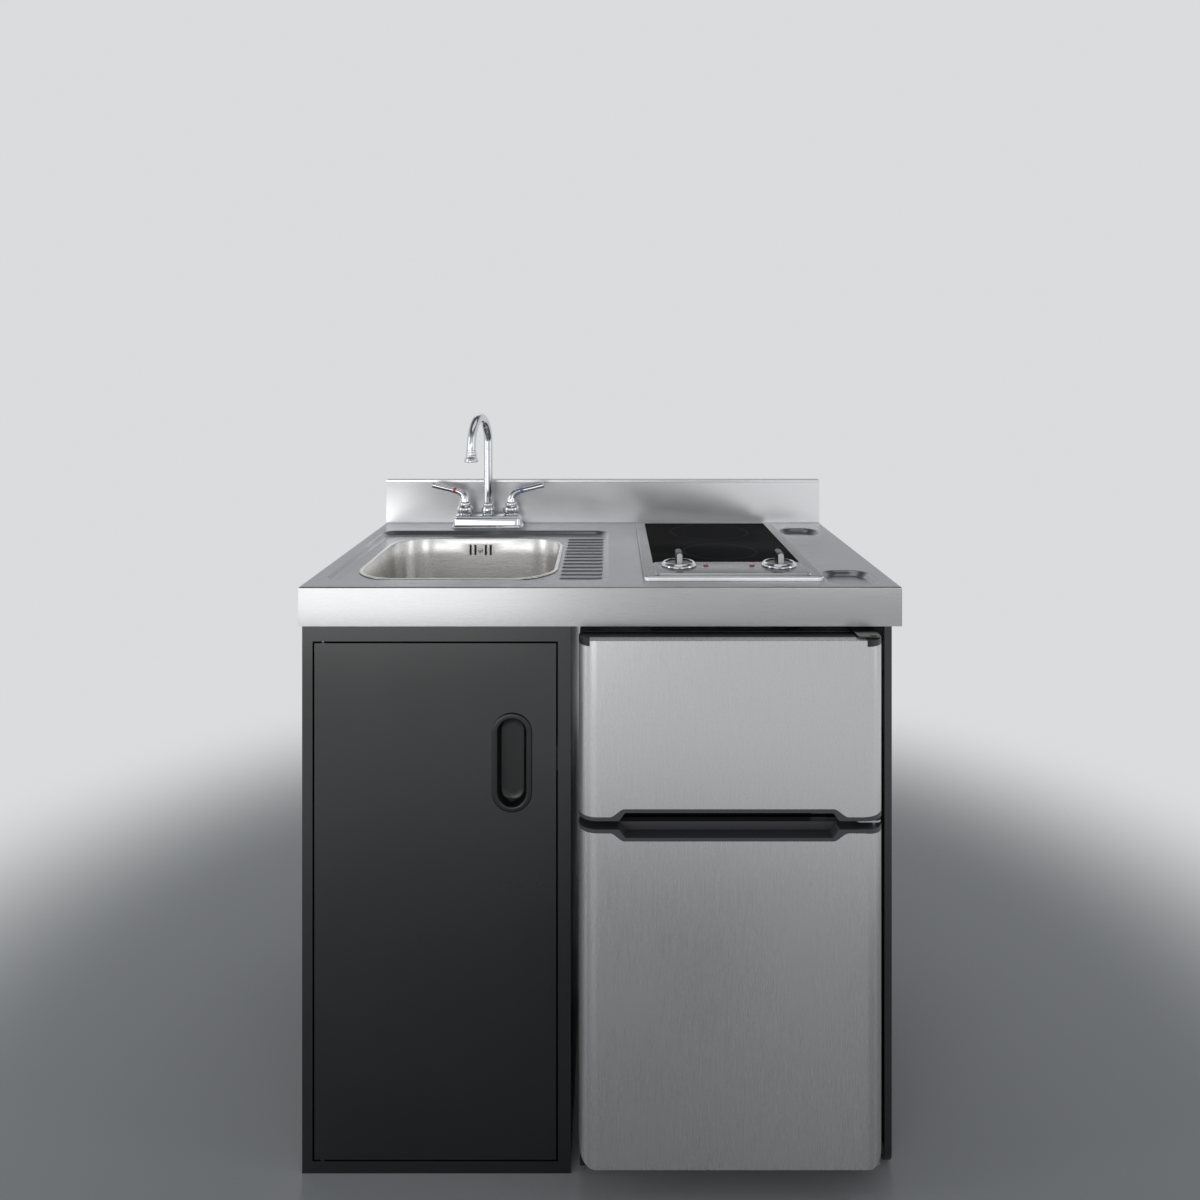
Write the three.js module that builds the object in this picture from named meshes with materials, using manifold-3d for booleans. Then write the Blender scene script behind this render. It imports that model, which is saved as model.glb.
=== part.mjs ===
// A compact kitchenette: a pressed stainless worktop with sink, drainer, tap and two-zone hob,
// over a steel cabinet on the left and a two-door fridge on the right.
// Millimetres, +Z up, +X to the viewer's right, the front looks along -Y.
// The origin is on the floor under the middle of the whole unit.
import * as THREE from "three";
import { mergeVertices } from "three/addons/utils/BufferGeometryUtils.js";
import Module from "manifold-3d";

const wasm = await Module();
wasm.setup();

/* ------------------------------------------------------------------ fits */
const seat = 0.3; // gap between two pieces that touch
const pinPlay = 0.1; // radial play of a pin in its bore

/* -------------------------------------------------------- worktop sizes */
const topSheet = 2; // pressed sheet
const fasciaHeight = 63.5;
const leftLand = 19; // flat deck left of the sink pressing
const frontLand = 48; // flat deck in front of the sink pressing
const pressingDepth = 8;
const pressingSlope = 15; // width of the sloped wall of the pressing
const pressingRadius = 30;

const bowlWidth = 341;
const bowlLength = 354;
const bowlDepth = 160;
const bowlRadius = 80; // corners, seen from above
const bowlSheet = 1.5;
const bowlRim = 7; // rolled rim around the bowl
const bowlFillet = 28; // between wall and bottom
const bowlDraft = 10; // how far the wall leans in before the fillet
const bowlLeftMargin = 45; // pressing edge to bowl
const bowlFrontMargin = 37;
const bowlRearMargin = 59;

const ribCount = 13;
const ribPitch = 28.4;
const ribWidth = 11;
const ribLength = 78;
const ribHeight = 2.4;
const ribGap = 11; // bowl to ribs
const ribMargin = 9; // ribs to the pressing's right edge

const tapLand = 92; // pressing to the face of the backsplash
const backsplashHeight = 97;
const backsplashThickness = 20;
const hemHeight = 5; // folded edge along the top of the backsplash
const hemProud = 0.8;

const wellWidth = 84; // shallow wells right of the hob
const wellDepth = 8;
const wellSlope = 6;
const wellRadius = 32;
const frontWellLength = 106;
const rearWellLength = 80;
const frontWellLand = 15; // worktop's front edge to the front well
const rearWellLand = 69; // rear well to the face of the backsplash
const wellGap = 6; // hob frame to the wells

/* ------------------------------------------------------------ sink waste */
const drainHole = 40; // radius of the hole in the bowl's bottom
const drainFlange = 46; // radius
const drainCupDepth = 46;
const drainWall = 2;
const outletRadius = 19; // waste pipe, outside
const outletBore = 17;
const outletLength = 34;
const basketHeight = 34;
const trapDrop = 60; // straight pipe above the trap's bend
const trapBend = 40; // centreline radius of the trap
const overflowSlot = { width: 4.5, height: 22, fromDeck: 18.6 };
const overflowOffsets = [-21, -11, 11, 21]; // slots left and right of the screw
const overflowBox = { width: 58, height: 36, depth: 22, wall: 2 };
const overflowPipeRadius = 9;
const overflowBend = 26;

/* ------------------------------------------------------------- tap sizes */
const tapLength = 156;
const tapDepth = 54;
const tapHeight = 25;
const tapFlange = 6; // height of the flared foot
const tapFlare = 4; // how far the foot stands out
const tapCentres = 102; // hot valve to cold valve
const tapShift = 1; // tap to the right of the bowl's middle
const tapBehindPressing = 52; // pressing's rear edge to the tap's axis
const shankRadius = 10;
const shankLength = 48;
const bonnetRadius = 18;
const bonnetHeight = 29;
const collarRadius = 15.5;
const stemRadius = 4;
const spoutRadius = 9.5;
const spoutBore = 7.5;
const spoutReach = 120;
const spoutHeight = 253; // top of the gooseneck above the deck
const spoutRest = -9.5; // degrees, turned to the viewer's left
const aeratorHeight = 24;
const aeratorRadius = 15;
const spoutDrop = 4; // straight pipe between the bend and the aerator
const leverReach = 72; // lever's tip from its axis
const leverRise = 34; // lever's tip above its root

/* ------------------------------------------------------------- hob sizes */
const hobWidth = 301;
const hobDepth = 509;
const hobHeight = 8.5; // frame above the deck
const hobFromFront = 38; // worktop's front edge to the frame
const hobRearLand = 43; // frame to the face of the backsplash
const hobSpacing = 58; // sink pressing to the frame
const hobSheet = 2;
const hobBevel = 3;
const glassWidth = 260;
const glassLength = 398;
const glassThickness = 4;
const glassLedge = 8;
const glassRearBorder = 9;
const controlWidth = 262;
const controlLength = 92;
const controlRise = 3;
const controlFromFront = 7; // frame's front edge to the raised control plate
const casingDepth = 40; // below the deck
const casingInset = 15; // from the frame's edge
const casingSheet = 1.5;
const hobCutClearance = 4; // worktop's cut-out around the casing
const knobSpacing = 174;
const knobFromFront = 70; // frame's front edge to the knobs' axis
const knobRadius = 22;
const knobSkirt = 5;
const bladeWidth = 12;
const bladeHeight = 20;
const spindleRadius = 3;
const bezelRadius = 30.5;
const bezelHeight = 7;
const lampSpacing = 80;
const lampRadius = 4;
const lampProud = 1.6;
const regulator = { width: 42, depth: 48, height: 28, neck: 8 };
const elementRadius = 82;
const elementSpacing = 196; // front zone to rear zone
const elementHeight = 30;

/* --------------------------------------------------------- cabinet sizes */
const leftOverhang = 3; // worktop beyond the cabinet
const cabinetSetback = 10; // behind the fascia
const rearClearance = 10; // cabinet's back to the worktop's rear edge
const cabinetSheet = 1.5;
const cabinetRightRoom = 36; // bowl to the cabinet's right side
const stileLeft = 17;
const stileRight = 21;
const bottomRail = 19.4;
const topRailDrop = 27.5; // visible rail below the fascia
const tunnelDepth = 34; // folded return around the door opening
const doorGap = 3;
const doorThickness = 20;
const doorFlange = 12;
const pivotFromSide = 12; // door's left edge to the pivot's axis
const pivotFromFace = 8;
const pivotRadius = 3;
const pivotHead = 5.5;
const pivotReach = 14; // pin inside the door
const pivotBlock = { width: 24, depth: 15, height: 16 };
const pullWidth = 65.6;
const pullHeight = 161.6;
const pullFromRight = 39; // door's right edge to the pull
const pullFromTop = 113.4;
const pullRim = 9.5;
const pullProud = 2;
const pullDepth = 22;
const pullWall = 2;
const catchSize = { width: 12, height: 44, depth: 12 };
const backHoleRadius = 28;

/* ---------------------------------------------------------- fridge sizes */
const fridgeGapLeft = 14; // cabinet to fridge
const fridgeGapRight = 18; // fridge to support panel
const doorWidth = 482;
const doorBottom = 58;
const lowerDoorHeight = 533;
const upperDoorHeight = 282;
const betweenDoors = 13.2;
const headroom = 8.5; // fridge to the fascia's lower edge
const doorDepth = 40; // steel wrap, front to back
const gasketDepth = 12; // door wrap's back to the case
const doorRadius = 30;
const doorSheet = 1.5;
const doorReturn = 14;
const lowerCornerRadius = 24;
const doorProud = 50; // doors stand in front of the fascia
const caseInset = 1; // case narrower than the doors, each side
const caseDepth = 478;
const caseBottom = 20;
const caseSheet = 1.2;
const insulation = 35;
const mullionHeight = 40;
const compressorBay = { depth: 130, height: 190 };
const footRadius = 15;
const linerWall = 2.5;
const gripNarrow = 5.7; // visible band of the grip
const gripWide = 18.3; // band around the finger pocket
const gripLip = 5.2;
const gripSlope = 24; // length of the S between narrow and wide
const gripFromLeft = 61; // door's left edge to the start of the pocket
const gripFromRight = 70;
const pocketDepth = 26;
const gripEndRise = 3.2; // band thickens towards the hinge
const capFront = 20; // steel folded over the door's top
const capHeight = 9;
const capLeft = 18; // black corners of the top cap
const capRight = 29;
const hingeFromSide = 14;
const hingeFromFace = 20;
const hingePinRadius = 3.5;
const hingePlate = 3;
const hingePinReach = 15;
const hingeTab = { reach: 92, lap: 8, height: 11, sheet: 3 }; // screwed to the case's front
const gasketInset = 15;
const gasketWidth = 12;
const dykeDepthUpper = 58;
const dykeDepthLower = 88;
const dykeWall = 2.5;
const dykeInset = 45; // door's edge to the dyke
const dykeDraft = 14;
const freezerRacks = [{ height: 48, reach: 55, guard: 46 }]; // height above the door's lower edge
const fridgeRacks = [
  { height: 48, reach: 85, guard: 60 },
  { height: 230, reach: 85, guard: 50 },
  { height: 390, reach: 60, guard: 36 },
];
const shelfRodRadius = 3;
const shelfWire = 1.6; // half thickness of a thin wire
const shelfWires = 7;
const shelfHeights = [210, 350]; // above the liner's floor
const dialRadius = 18;
const dialHeight = 14;
const compressorRadius = 62;
const compressorHeight = 150;

/* --------------------------------------------------- support panel sizes */
const rightOverhang = 10.4;
const panelThickness = 12.6;
const panelSetback = 20;
const panelSheet = 1.5;
const panelToe = 25; // rounded lower front corner
const panelWellClearance = 3;
const railHeight = 54;
const railDepth = 30;

/* --------------------------------------------- places that follow from them */
const upperChain =
  leftLand + bowlLeftMargin + bowlWidth + ribGap + ribLength + ribMargin +
  hobSpacing + hobWidth + wellGap + wellWidth + panelWellClearance + panelThickness + rightOverhang;
const cabinetWidth = leftLand + bowlLeftMargin - leftOverhang + bowlWidth + cabinetRightRoom;
const lowerChain =
  leftOverhang + cabinetWidth + fridgeGapLeft + doorWidth + fridgeGapRight + panelThickness +
  rightOverhang;
const worktopWidth = Math.max(upperChain, lowerChain);
const pressingLength = bowlFrontMargin + bowlLength + bowlRearMargin;
const sinkColumn = frontLand + pressingLength + tapLand + backsplashThickness;
const hobColumn = hobFromFront + hobDepth + hobRearLand + backsplashThickness;
const worktopDepth = Math.max(sinkColumn, hobColumn);
const fridgeTop = doorBottom + lowerDoorHeight + betweenDoors + upperDoorHeight;
const deckZ = fridgeTop + headroom + fasciaHeight;

const leftX = -worktopWidth / 2;
const rightX = worktopWidth / 2;
const frontY = (doorProud - worktopDepth) / 2;
const backY = frontY + worktopDepth;
const splashY = backY - backsplashThickness; // face of the backsplash

const pressing = {
  x0: leftX + leftLand,
  x1: leftX + leftLand + bowlLeftMargin + bowlWidth + ribGap + ribLength + ribMargin,
  y0: frontY + frontLand,
  y1: frontY + frontLand + pressingLength,
};
const pressingFloor = deckZ - pressingDepth;
const bowlX = pressing.x0 + bowlLeftMargin + bowlWidth / 2;
const bowlY = pressing.y0 + bowlFrontMargin + bowlLength / 2;
const rimTop = pressingFloor + seat + bowlSheet;
const bowlBottom = rimTop - bowlDepth; // inside
const tapX = bowlX + tapShift;
const tapY = pressing.y1 + tapBehindPressing;
const hobX = pressing.x1 + hobSpacing + hobWidth / 2;
const hobY = frontY + hobFromFront + hobDepth / 2;
const well = {
  x0: hobX + hobWidth / 2 + wellGap,
  x1: rightX - rightOverhang - panelThickness - panelWellClearance,
};

const cabinet = {
  x0: leftX + leftOverhang,
  x1: leftX + leftOverhang + cabinetWidth,
  y0: frontY + cabinetSetback,
  y1: backY - rearClearance,
  top: pressingFloor - topSheet - seat,
};
const doorway = {
  x0: cabinet.x0 + stileLeft,
  x1: cabinet.x1 - stileRight,
  z0: bottomRail,
  z1: deckZ - fasciaHeight - topRailDrop,
};
const fridgeX = cabinet.x1 + fridgeGapLeft + doorWidth / 2;
const caseFrontY = frontY - doorProud + doorDepth + gasketDepth;
const gapMiddle = doorBottom + lowerDoorHeight + betweenDoors / 2;

/* ------------------------------------------------------ shapes and solids */
// A closed geometry becomes a solid that can be joined and cut.
function solid(geometry) {
  const bare = geometry.clone();
  for (const name of Object.keys(bare.attributes)) {
    if (name !== "position") bare.deleteAttribute(name);
  }
  const merged = mergeVertices(bare, 1e-4);
  const triVerts = new Uint32Array(merged.index.array);
  const vertProperties = merged.attributes.position.array;
  const make = () => new wasm.Manifold(new wasm.Mesh({ numProp: 3, vertProperties, triVerts }));
  const made = make();
  if (made.volume() >= 0) return made;
  for (let i = 0; i < triVerts.length; i += 3) {
    [triVerts[i + 1], triVerts[i + 2]] = [triVerts[i + 2], triVerts[i + 1]];
  }
  return make();
}

function geometryOf(body) {
  const mesh = body.getMesh();
  const count = mesh.numVert;
  const positions = new Float32Array(count * 3);
  for (let i = 0; i < count; i++) {
    positions.set(mesh.vertProperties.subarray(i * mesh.numProp, i * mesh.numProp + 3), i * 3);
  }
  const indexed = new THREE.BufferGeometry();
  indexed.setAttribute("position", new THREE.BufferAttribute(positions, 3));
  indexed.setIndex(new THREE.BufferAttribute(new Uint32Array(mesh.triVerts), 1));
  indexed.computeVertexNormals();
  return indexed;
}

const join = (first, ...others) => others.reduce((sum, other) => sum.add(other), first);
const cut = (first, ...tools) => tools.reduce((rest, tool) => rest.subtract(tool), first);
const common = (a, b) => a.intersect(b);

function block(x0, x1, y0, y1, z0, z1) {
  const box = new THREE.BoxGeometry(x1 - x0, y1 - y0, z1 - z0);
  return solid(box.translate((x0 + x1) / 2, (y0 + y1) / 2, (z0 + z1) / 2));
}

// The corner radius of a faceted bore whose flats clear a round pin by the play.
const around = (pin, sides = 14) => (pin + pinPlay) / Math.cos(Math.PI / sides);

// A cylinder that stands on z0.
function post(x, y, radius, z0, z1, sides = 14) {
  const round = new THREE.CylinderGeometry(radius, radius, z1 - z0, sides);
  return solid(round.rotateX(Math.PI / 2).translate(x, y, (z0 + z1) / 2));
}

// A cylinder that lies along X, or along Y.
function barX(y, z, radius, x0, x1, sides = 12) {
  const round = new THREE.CylinderGeometry(radius, radius, x1 - x0, sides);
  return solid(round.rotateZ(Math.PI / 2).translate((x0 + x1) / 2, y, z));
}
function barY(x, z, radius, y0, y1, sides = 12) {
  const round = new THREE.CylinderGeometry(radius, radius, y1 - y0, sides);
  return solid(round.translate(x, (y0 + y1) / 2, z));
}

// A rectangle with round corners, as an outline.
function roundedOutline(x0, x1, y0, y1, radius) {
  const r = Math.min(radius, (x1 - x0) / 2 - 0.01, (y1 - y0) / 2 - 0.01);
  const outline = new THREE.Shape();
  outline.moveTo(x0 + r, y0);
  outline.absarc(x1 - r, y0 + r, r, -Math.PI / 2, 0);
  outline.absarc(x1 - r, y1 - r, r, 0, Math.PI / 2);
  outline.absarc(x0 + r, y1 - r, r, Math.PI / 2, Math.PI);
  outline.absarc(x0 + r, y0 + r, r, Math.PI, Math.PI * 1.5);
  outline.closePath();
  return outline;
}

function polygon(points) {
  return new THREE.Shape(points.map(([x, y]) => new THREE.Vector2(x, y)));
}

// Outlines pushed up along Z, back along Y (outline in X and Z) or right along X (outline in Y and Z).
function pushUp(outline, z0, z1, steps = 2) {
  const options = { depth: z1 - z0, bevelEnabled: false, curveSegments: steps };
  return solid(new THREE.ExtrudeGeometry(outline, options).translate(0, 0, z0));
}
function pushBack(outline, y0, y1, steps = 2) {
  const options = { depth: y1 - y0, bevelEnabled: false, curveSegments: steps };
  const geometry = new THREE.ExtrudeGeometry(outline, options);
  return solid(geometry.rotateX(Math.PI / 2).translate(0, y1, 0));
}
function pushRight(outline, x0, x1, steps = 2) {
  const options = { depth: x1 - x0, bevelEnabled: false, curveSegments: steps };
  const geometry = new THREE.ExtrudeGeometry(outline, options);
  return solid(geometry.rotateY(Math.PI / 2).rotateX(Math.PI / 2).translate(x0, 0, 0));
}

// A flat pad whose upper and lower edges are bevelled.
function pad(outline, z0, z1, bevel, bevelSteps = 1, steps = 2) {
  const options = {
    depth: z1 - z0 - 2 * bevel,
    bevelThickness: bevel,
    bevelSize: bevel,
    bevelOffset: -bevel,
    bevelSegments: bevelSteps,
    curveSegments: steps,
  };
  return solid(new THREE.ExtrudeGeometry(outline, options).translate(0, 0, z0 + bevel));
}

// A profile of [radius, height] pairs turned about the Z axis.
function revolve(profile, sides = 14) {
  const points = profile.map(([radius, height]) => new THREE.Vector2(radius, height));
  const closed = profile[0][0] > 0;
  if (closed) points.push(points[0].clone());
  return solid(new THREE.LatheGeometry(points, sides).rotateX(Math.PI / 2));
}

// A skin over rings of equally many points, closed by a cap at each end.
function loft(rings) {
  const count = rings[0].length;
  const positions = rings.flat().flatMap((point) => [point.x, point.y, point.z]);
  const index = [];
  for (let ring = 0; ring + 1 < rings.length; ring++) {
    for (let i = 0; i < count; i++) {
      const a = ring * count + i;
      const b = ring * count + ((i + 1) % count);
      index.push(a, b, b + count, a, b + count, a + count);
    }
  }
  const last = (rings.length - 1) * count;
  for (let i = 1; i + 1 < count; i++) {
    index.push(0, i + 1, i);
    index.push(last, last + i, last + i + 1);
  }
  const skin = new THREE.BufferGeometry();
  skin.setAttribute("position", new THREE.Float32BufferAttribute(positions, 3));
  skin.setIndex(index);
  return solid(skin);
}

// A level ring: the rectangle x0..x1, y0..y1 shrunk by inset, with round corners.
function levelRing({ x0, x1, y0, y1 }, radius, inset, z, steps = 4) {
  const r = Math.max(radius - inset, 0.5);
  const corners = [
    [x1 - inset - r, y0 + inset + r, -Math.PI / 2],
    [x1 - inset - r, y1 - inset - r, 0],
    [x0 + inset + r, y1 - inset - r, Math.PI / 2],
    [x0 + inset + r, y0 + inset + r, Math.PI],
  ];
  return corners.flatMap(([x, y, start]) =>
    Array.from({ length: steps + 1 }, (_, i) => {
      const angle = start + (i / steps) * (Math.PI / 2);
      return new THREE.Vector3(x + r * Math.cos(angle), y + r * Math.sin(angle), z);
    }),
  );
}

// Stations along straight runs in a YZ plane that meet in quarter bends: [y, z, dy, dz].
function quarterBends(corners, bend, steps = 3) {
  const toward = (a, b) => {
    const length = Math.hypot(b[0] - a[0], b[1] - a[1]);
    return [(b[0] - a[0]) / length, (b[1] - a[1]) / length];
  };
  const last = corners.length - 1;
  const stations = [[...corners[0], ...toward(corners[0], corners[1])]];
  for (let i = 1; i < last; i++) {
    const into = toward(corners[i - 1], corners[i]);
    const out = toward(corners[i], corners[i + 1]);
    const centre = [0, 1].map((k) => corners[i][k] + bend * (out[k] - into[k]));
    for (let step = 0; step <= steps; step++) {
      const s = Math.sin((step / steps) * (Math.PI / 2));
      const c = Math.cos((step / steps) * (Math.PI / 2));
      const place = [0, 1].map((k) => centre[k] + bend * (s * into[k] - c * out[k]));
      stations.push([...place, c * into[0] + s * out[0], c * into[1] + s * out[1]]);
    }
  }
  stations.push([...corners[last], ...toward(corners[last - 1], corners[last])]);
  return stations;
}

// A round tube at one x through such stations; without a bore it is a rod.
function tube(x, stations, radius, bore, sides = 10) {
  const skin = (r, ends) => loft(stations.map(([y, z, dy, dz], i) => {
    const over = i === 0 ? -ends : i === stations.length - 1 ? ends : 0;
    return Array.from({ length: sides }, (_, k) => {
      const across = r * Math.cos((k / sides) * Math.PI * 2);
      const up = r * Math.sin((k / sides) * Math.PI * 2);
      return at(x + across, y - up * dz + over * dy, z + up * dy + over * dz);
    });
  }));
  return bore > 0 ? cut(skin(radius, 0), skin(bore, 1)) : skin(radius, 0);
}

const at = (x, y, z) => new THREE.Vector3(x, y, z);

/* --------------------------------------------------------------- finishes */
const finish = (color, roughness, metalness) =>
  new THREE.MeshStandardMaterial({ color, roughness, metalness });
const finishes = {
  brushedSteel: () => finish(0xb9bbbd, 0.35, 1),
  bowlSteel: () => finish(0xc4c2bd, 0.28, 1),
  chrome: () => finish(0xd9dce0, 0.06, 1),
  blackPaint: () => finish(0x1f1f21, 0.45, 0.1),
  blackPlastic: () => finish(0x17171a, 0.4, 0),
  gripPlastic: () => finish(0x3c3c44, 0.5, 0),
  blackGlass: () => finish(0x050506, 0.05, 0),
  platinum: () => finish(0xa0a0a0, 0.38, 0.7),
  whitePlastic: () => finish(0xe6e7e6, 0.4, 0),
  greyRubber: () => finish(0x8c8d8f, 0.8, 0),
  zinc: () => finish(0xa7abb0, 0.4, 0.9),
  paleGrip: () => finish(0xb4b4b6, 0.35, 0.2),
  redLens: () => finish(0xc02018, 0.2, 0),
  ceramicFibre: () => finish(0xd8d2c4, 0.9, 0),
  greyPlastic: () => finish(0x6c6e72, 0.5, 0),
};

function piece(name, body, look) {
  const mesh = new THREE.Mesh(geometryOf(body), finishes[look]());
  mesh.name = name;
  return mesh;
}

/* --------------------------------------------------------------- worktop */
// A shallow pressing: cut is the hollow in the deck, bump is the metal that hangs below it.
function pressed(area, radius, slope, depth) {
  const top = levelRing(area, radius, 0, deckZ);
  const over = levelRing(area, radius, 0, deckZ + 1);
  const floor = levelRing(area, radius, slope, deckZ - depth);
  const below = levelRing(area, radius, -topSheet, deckZ - topSheet);
  const under = levelRing(area, radius, slope - topSheet, deckZ - depth - topSheet);
  const above = levelRing(area, radius, -topSheet, deckZ - topSheet / 2);
  return { hollow: loft([floor, top, over]), bump: loft([under, below, above]) };
}

// Raised ribs with round ends on the pressing's floor, right of the bowl.
function drainerRibs() {
  const first = bowlY - ((ribCount - 1) / 2) * ribPitch;
  const x = bowlX + bowlWidth / 2 + ribGap + ribLength / 2;
  const round = ribWidth / 2;
  return Array.from({ length: ribCount }, (_, i) => {
    const rib = areaAround(x, first + i * ribPitch, ribLength, ribWidth);
    return loft([
      levelRing(rib, round, 0, pressingFloor - topSheet / 2, 2),
      levelRing(rib, round, ribHeight, pressingFloor + ribHeight, 2),
    ]);
  });
}

const hobCasing = {
  x0: hobX - hobWidth / 2 + casingInset,
  x1: hobX + hobWidth / 2 - casingInset,
  y0: hobY - hobDepth / 2 + casingInset,
  y1: hobY + hobDepth / 2 - casingInset,
};

function worktop() {
  const sheet = topSheet;
  const outer = block(leftX, rightX, frontY, backY, deckZ - fasciaHeight, deckZ);
  const inner = block(
    leftX + sheet, rightX - sheet, frontY + sheet, backY - sheet,
    deckZ - fasciaHeight - 1, deckZ - sheet,
  );
  let body = cut(outer, inner);
  const frontWell = { ...well, y0: frontY + frontWellLand, y1: frontY + frontWellLand + frontWellLength };
  const rearWell = { ...well, y0: splashY - rearWellLand - rearWellLength, y1: splashY - rearWellLand };
  const forms = [
    pressed(pressing, pressingRadius, pressingSlope, pressingDepth),
    pressed(frontWell, wellRadius, wellSlope, wellDepth),
    pressed(rearWell, wellRadius, wellSlope, wellDepth),
  ];
  for (const form of forms) body = cut(join(body, form.bump), form.hollow);
  body = join(body, ...drainerRibs());
  const under = deckZ - pressingDepth - 2 * sheet;
  const bowlArea = areaAround(bowlX, bowlY, bowlWidth, bowlLength);
  const bowlGap = bowlSheet + seat;
  const bowlCut = loft([
    levelRing(bowlArea, bowlRadius, -bowlGap, under),
    levelRing(bowlArea, bowlRadius, -bowlGap, deckZ),
  ]);
  const gap = hobCutClearance;
  const hobCut = block(
    hobCasing.x0 - gap, hobCasing.x1 + gap, hobCasing.y0 - gap, hobCasing.y1 + gap, under, deckZ + 1,
  );
  const shankCuts = [-1, 1].map((side) =>
    post(tapX + (side * tapCentres) / 2, tapY, shankRadius + 1, under, deckZ + 1),
  );
  return piece("worktop", cut(body, bowlCut, hobCut, ...shankCuts), "brushedSteel");
}

function areaAround(x, y, width, length) {
  return { x0: x - width / 2, x1: x + width / 2, y0: y - length / 2, y1: y + length / 2 };
}

// A folded upstand with a hem along its top, closed at both ends.
function backsplash() {
  const z0 = deckZ + seat;
  const z1 = deckZ + backsplashHeight;
  const shell = block(leftX, rightX, splashY, backY, z0, z1);
  const hem = block(leftX, rightX, splashY - hemProud, backY, z1 - hemHeight, z1);
  const inside = block(
    leftX + topSheet, rightX - topSheet, splashY + topSheet, backY - topSheet, z0 - 1, z1 - topSheet,
  );
  return piece("backsplash", cut(join(shell, hem), inside), "brushedSteel");
}

/* ------------------------------------------------------------------ sink */
const bowlArea = areaAround(bowlX, bowlY, bowlWidth, bowlLength);

// Rings of the bowl's wall, from the rim down to the bottom; out is the wall's thickness.
function bowlRings(out, drop) {
  const straight = bowlDepth - bowlFillet;
  const rings = [levelRing(bowlArea, bowlRadius, -out, rimTop - drop)];
  rings.push(levelRing(bowlArea, bowlRadius, bowlDraft - out, rimTop - straight - drop));
  for (let i = 1; i <= 3; i++) {
    const angle = (i / 3) * (Math.PI / 2);
    const inset = bowlDraft + bowlFillet * (1 - Math.cos(angle));
    const depth = straight + bowlFillet * Math.sin(angle);
    rings.push(levelRing(bowlArea, bowlRadius, inset - out, rimTop - depth - drop));
  }
  return rings.reverse();
}

function sinkBowl() {
  const z0 = pressingFloor + seat;
  const rim = loft([
    levelRing(bowlArea, bowlRadius, -bowlRim, z0),
    levelRing(bowlArea, bowlRadius, -bowlRim, z0 + bowlSheet * 0.6),
    levelRing(bowlArea, bowlRadius, -bowlRim * 0.6, z0 + bowlSheet * 1.6),
    levelRing(bowlArea, bowlRadius, -bowlRim * 0.2, z0 + bowlSheet * 1.6),
  ]);
  const outside = loft(bowlRings(bowlSheet, bowlSheet));
  const inside = loft([
    ...bowlRings(0, 0),
    levelRing(bowlArea, bowlRadius, 0, rimTop + 2 * bowlSheet),
  ]);
  const drain = post(bowlX, bowlY, drainHole, bowlBottom - 10, bowlBottom + 10, 32);
  const slotTop = pressingFloor - overflowSlot.fromDeck + pressingDepth;
  const slots = overflowOffsets.map((offset) =>
    pushBack(
      roundedOutline(
        bowlX + offset - overflowSlot.width / 2, bowlX + offset + overflowSlot.width / 2,
        slotTop - overflowSlot.height, slotTop, overflowSlot.width / 2,
      ),
      bowlY, bowlArea.y1 + 10, 1,
    ),
  );
  const screw = barY(bowlX, slotTop - overflowSlot.height / 2, 2.3, bowlY, bowlArea.y1 + 10, 12);
  const body = cut(join(rim, outside), inside, drain, screw, ...slots);
  return piece("sink_bowl", body, "bowlSteel");
}

// The box behind the overflow slots, open towards the bowl, with the screw that holds it.
function sinkOverflow() {
  const { width, height, depth, wall } = overflowBox;
  const middle = pressingFloor - overflowSlot.fromDeck + pressingDepth - overflowSlot.height / 2;
  const y0 = bowlArea.y1 + bowlSheet + seat;
  const x0 = bowlX - width / 2;
  const z0 = middle - height / 2;
  const outer = block(x0, x0 + width, y0, y0 + depth, z0, z0 + height);
  const inner = block(
    x0 + wall, x0 + width - wall, y0 - 1, y0 + depth - wall, z0 + wall, z0 + height - wall,
  );
  const screwStart = bowlArea.y1 - bowlDraft / 2 - 3;
  const shaft = barY(bowlX, middle, 2, screwStart, y0 + depth - 1, 12);
  const head = barY(bowlX, middle, 4, screwStart - 2, screwStart, 12);
  const spigot = post(bowlX, y0 + depth / 2, overflowPipeRadius, z0 - 10, z0 + 1, 16);
  const bore = post(bowlX, y0 + depth / 2, overflowPipeRadius - 2, z0 - 11, z0 + wall + 1, 16);
  return piece("overflow_box", cut(join(cut(outer, inner), shaft, head, spigot), bore), "greyPlastic");
}

const cupTop = bowlBottom - bowlSheet;
const cupBottom = cupTop - drainCupDepth;
const inletZ = cupTop - drainCupDepth * 0.55; // height of the overflow inlet on the drain

function overflowPipe() {
  const middle = pressingFloor - overflowSlot.fromDeck + pressingDepth - overflowSlot.height / 2;
  const y = bowlArea.y1 + bowlSheet + seat + overflowBox.depth / 2;
  const top = middle - overflowBox.height / 2 - 10 - seat;
  const route = quarterBends(
    [[y, top], [y, inletZ], [bowlY + drainHole + 14 + seat, inletZ]], overflowBend,
  );
  return piece("overflow_pipe", tube(bowlX, route, overflowPipeRadius, 0), "greyPlastic");
}

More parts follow.
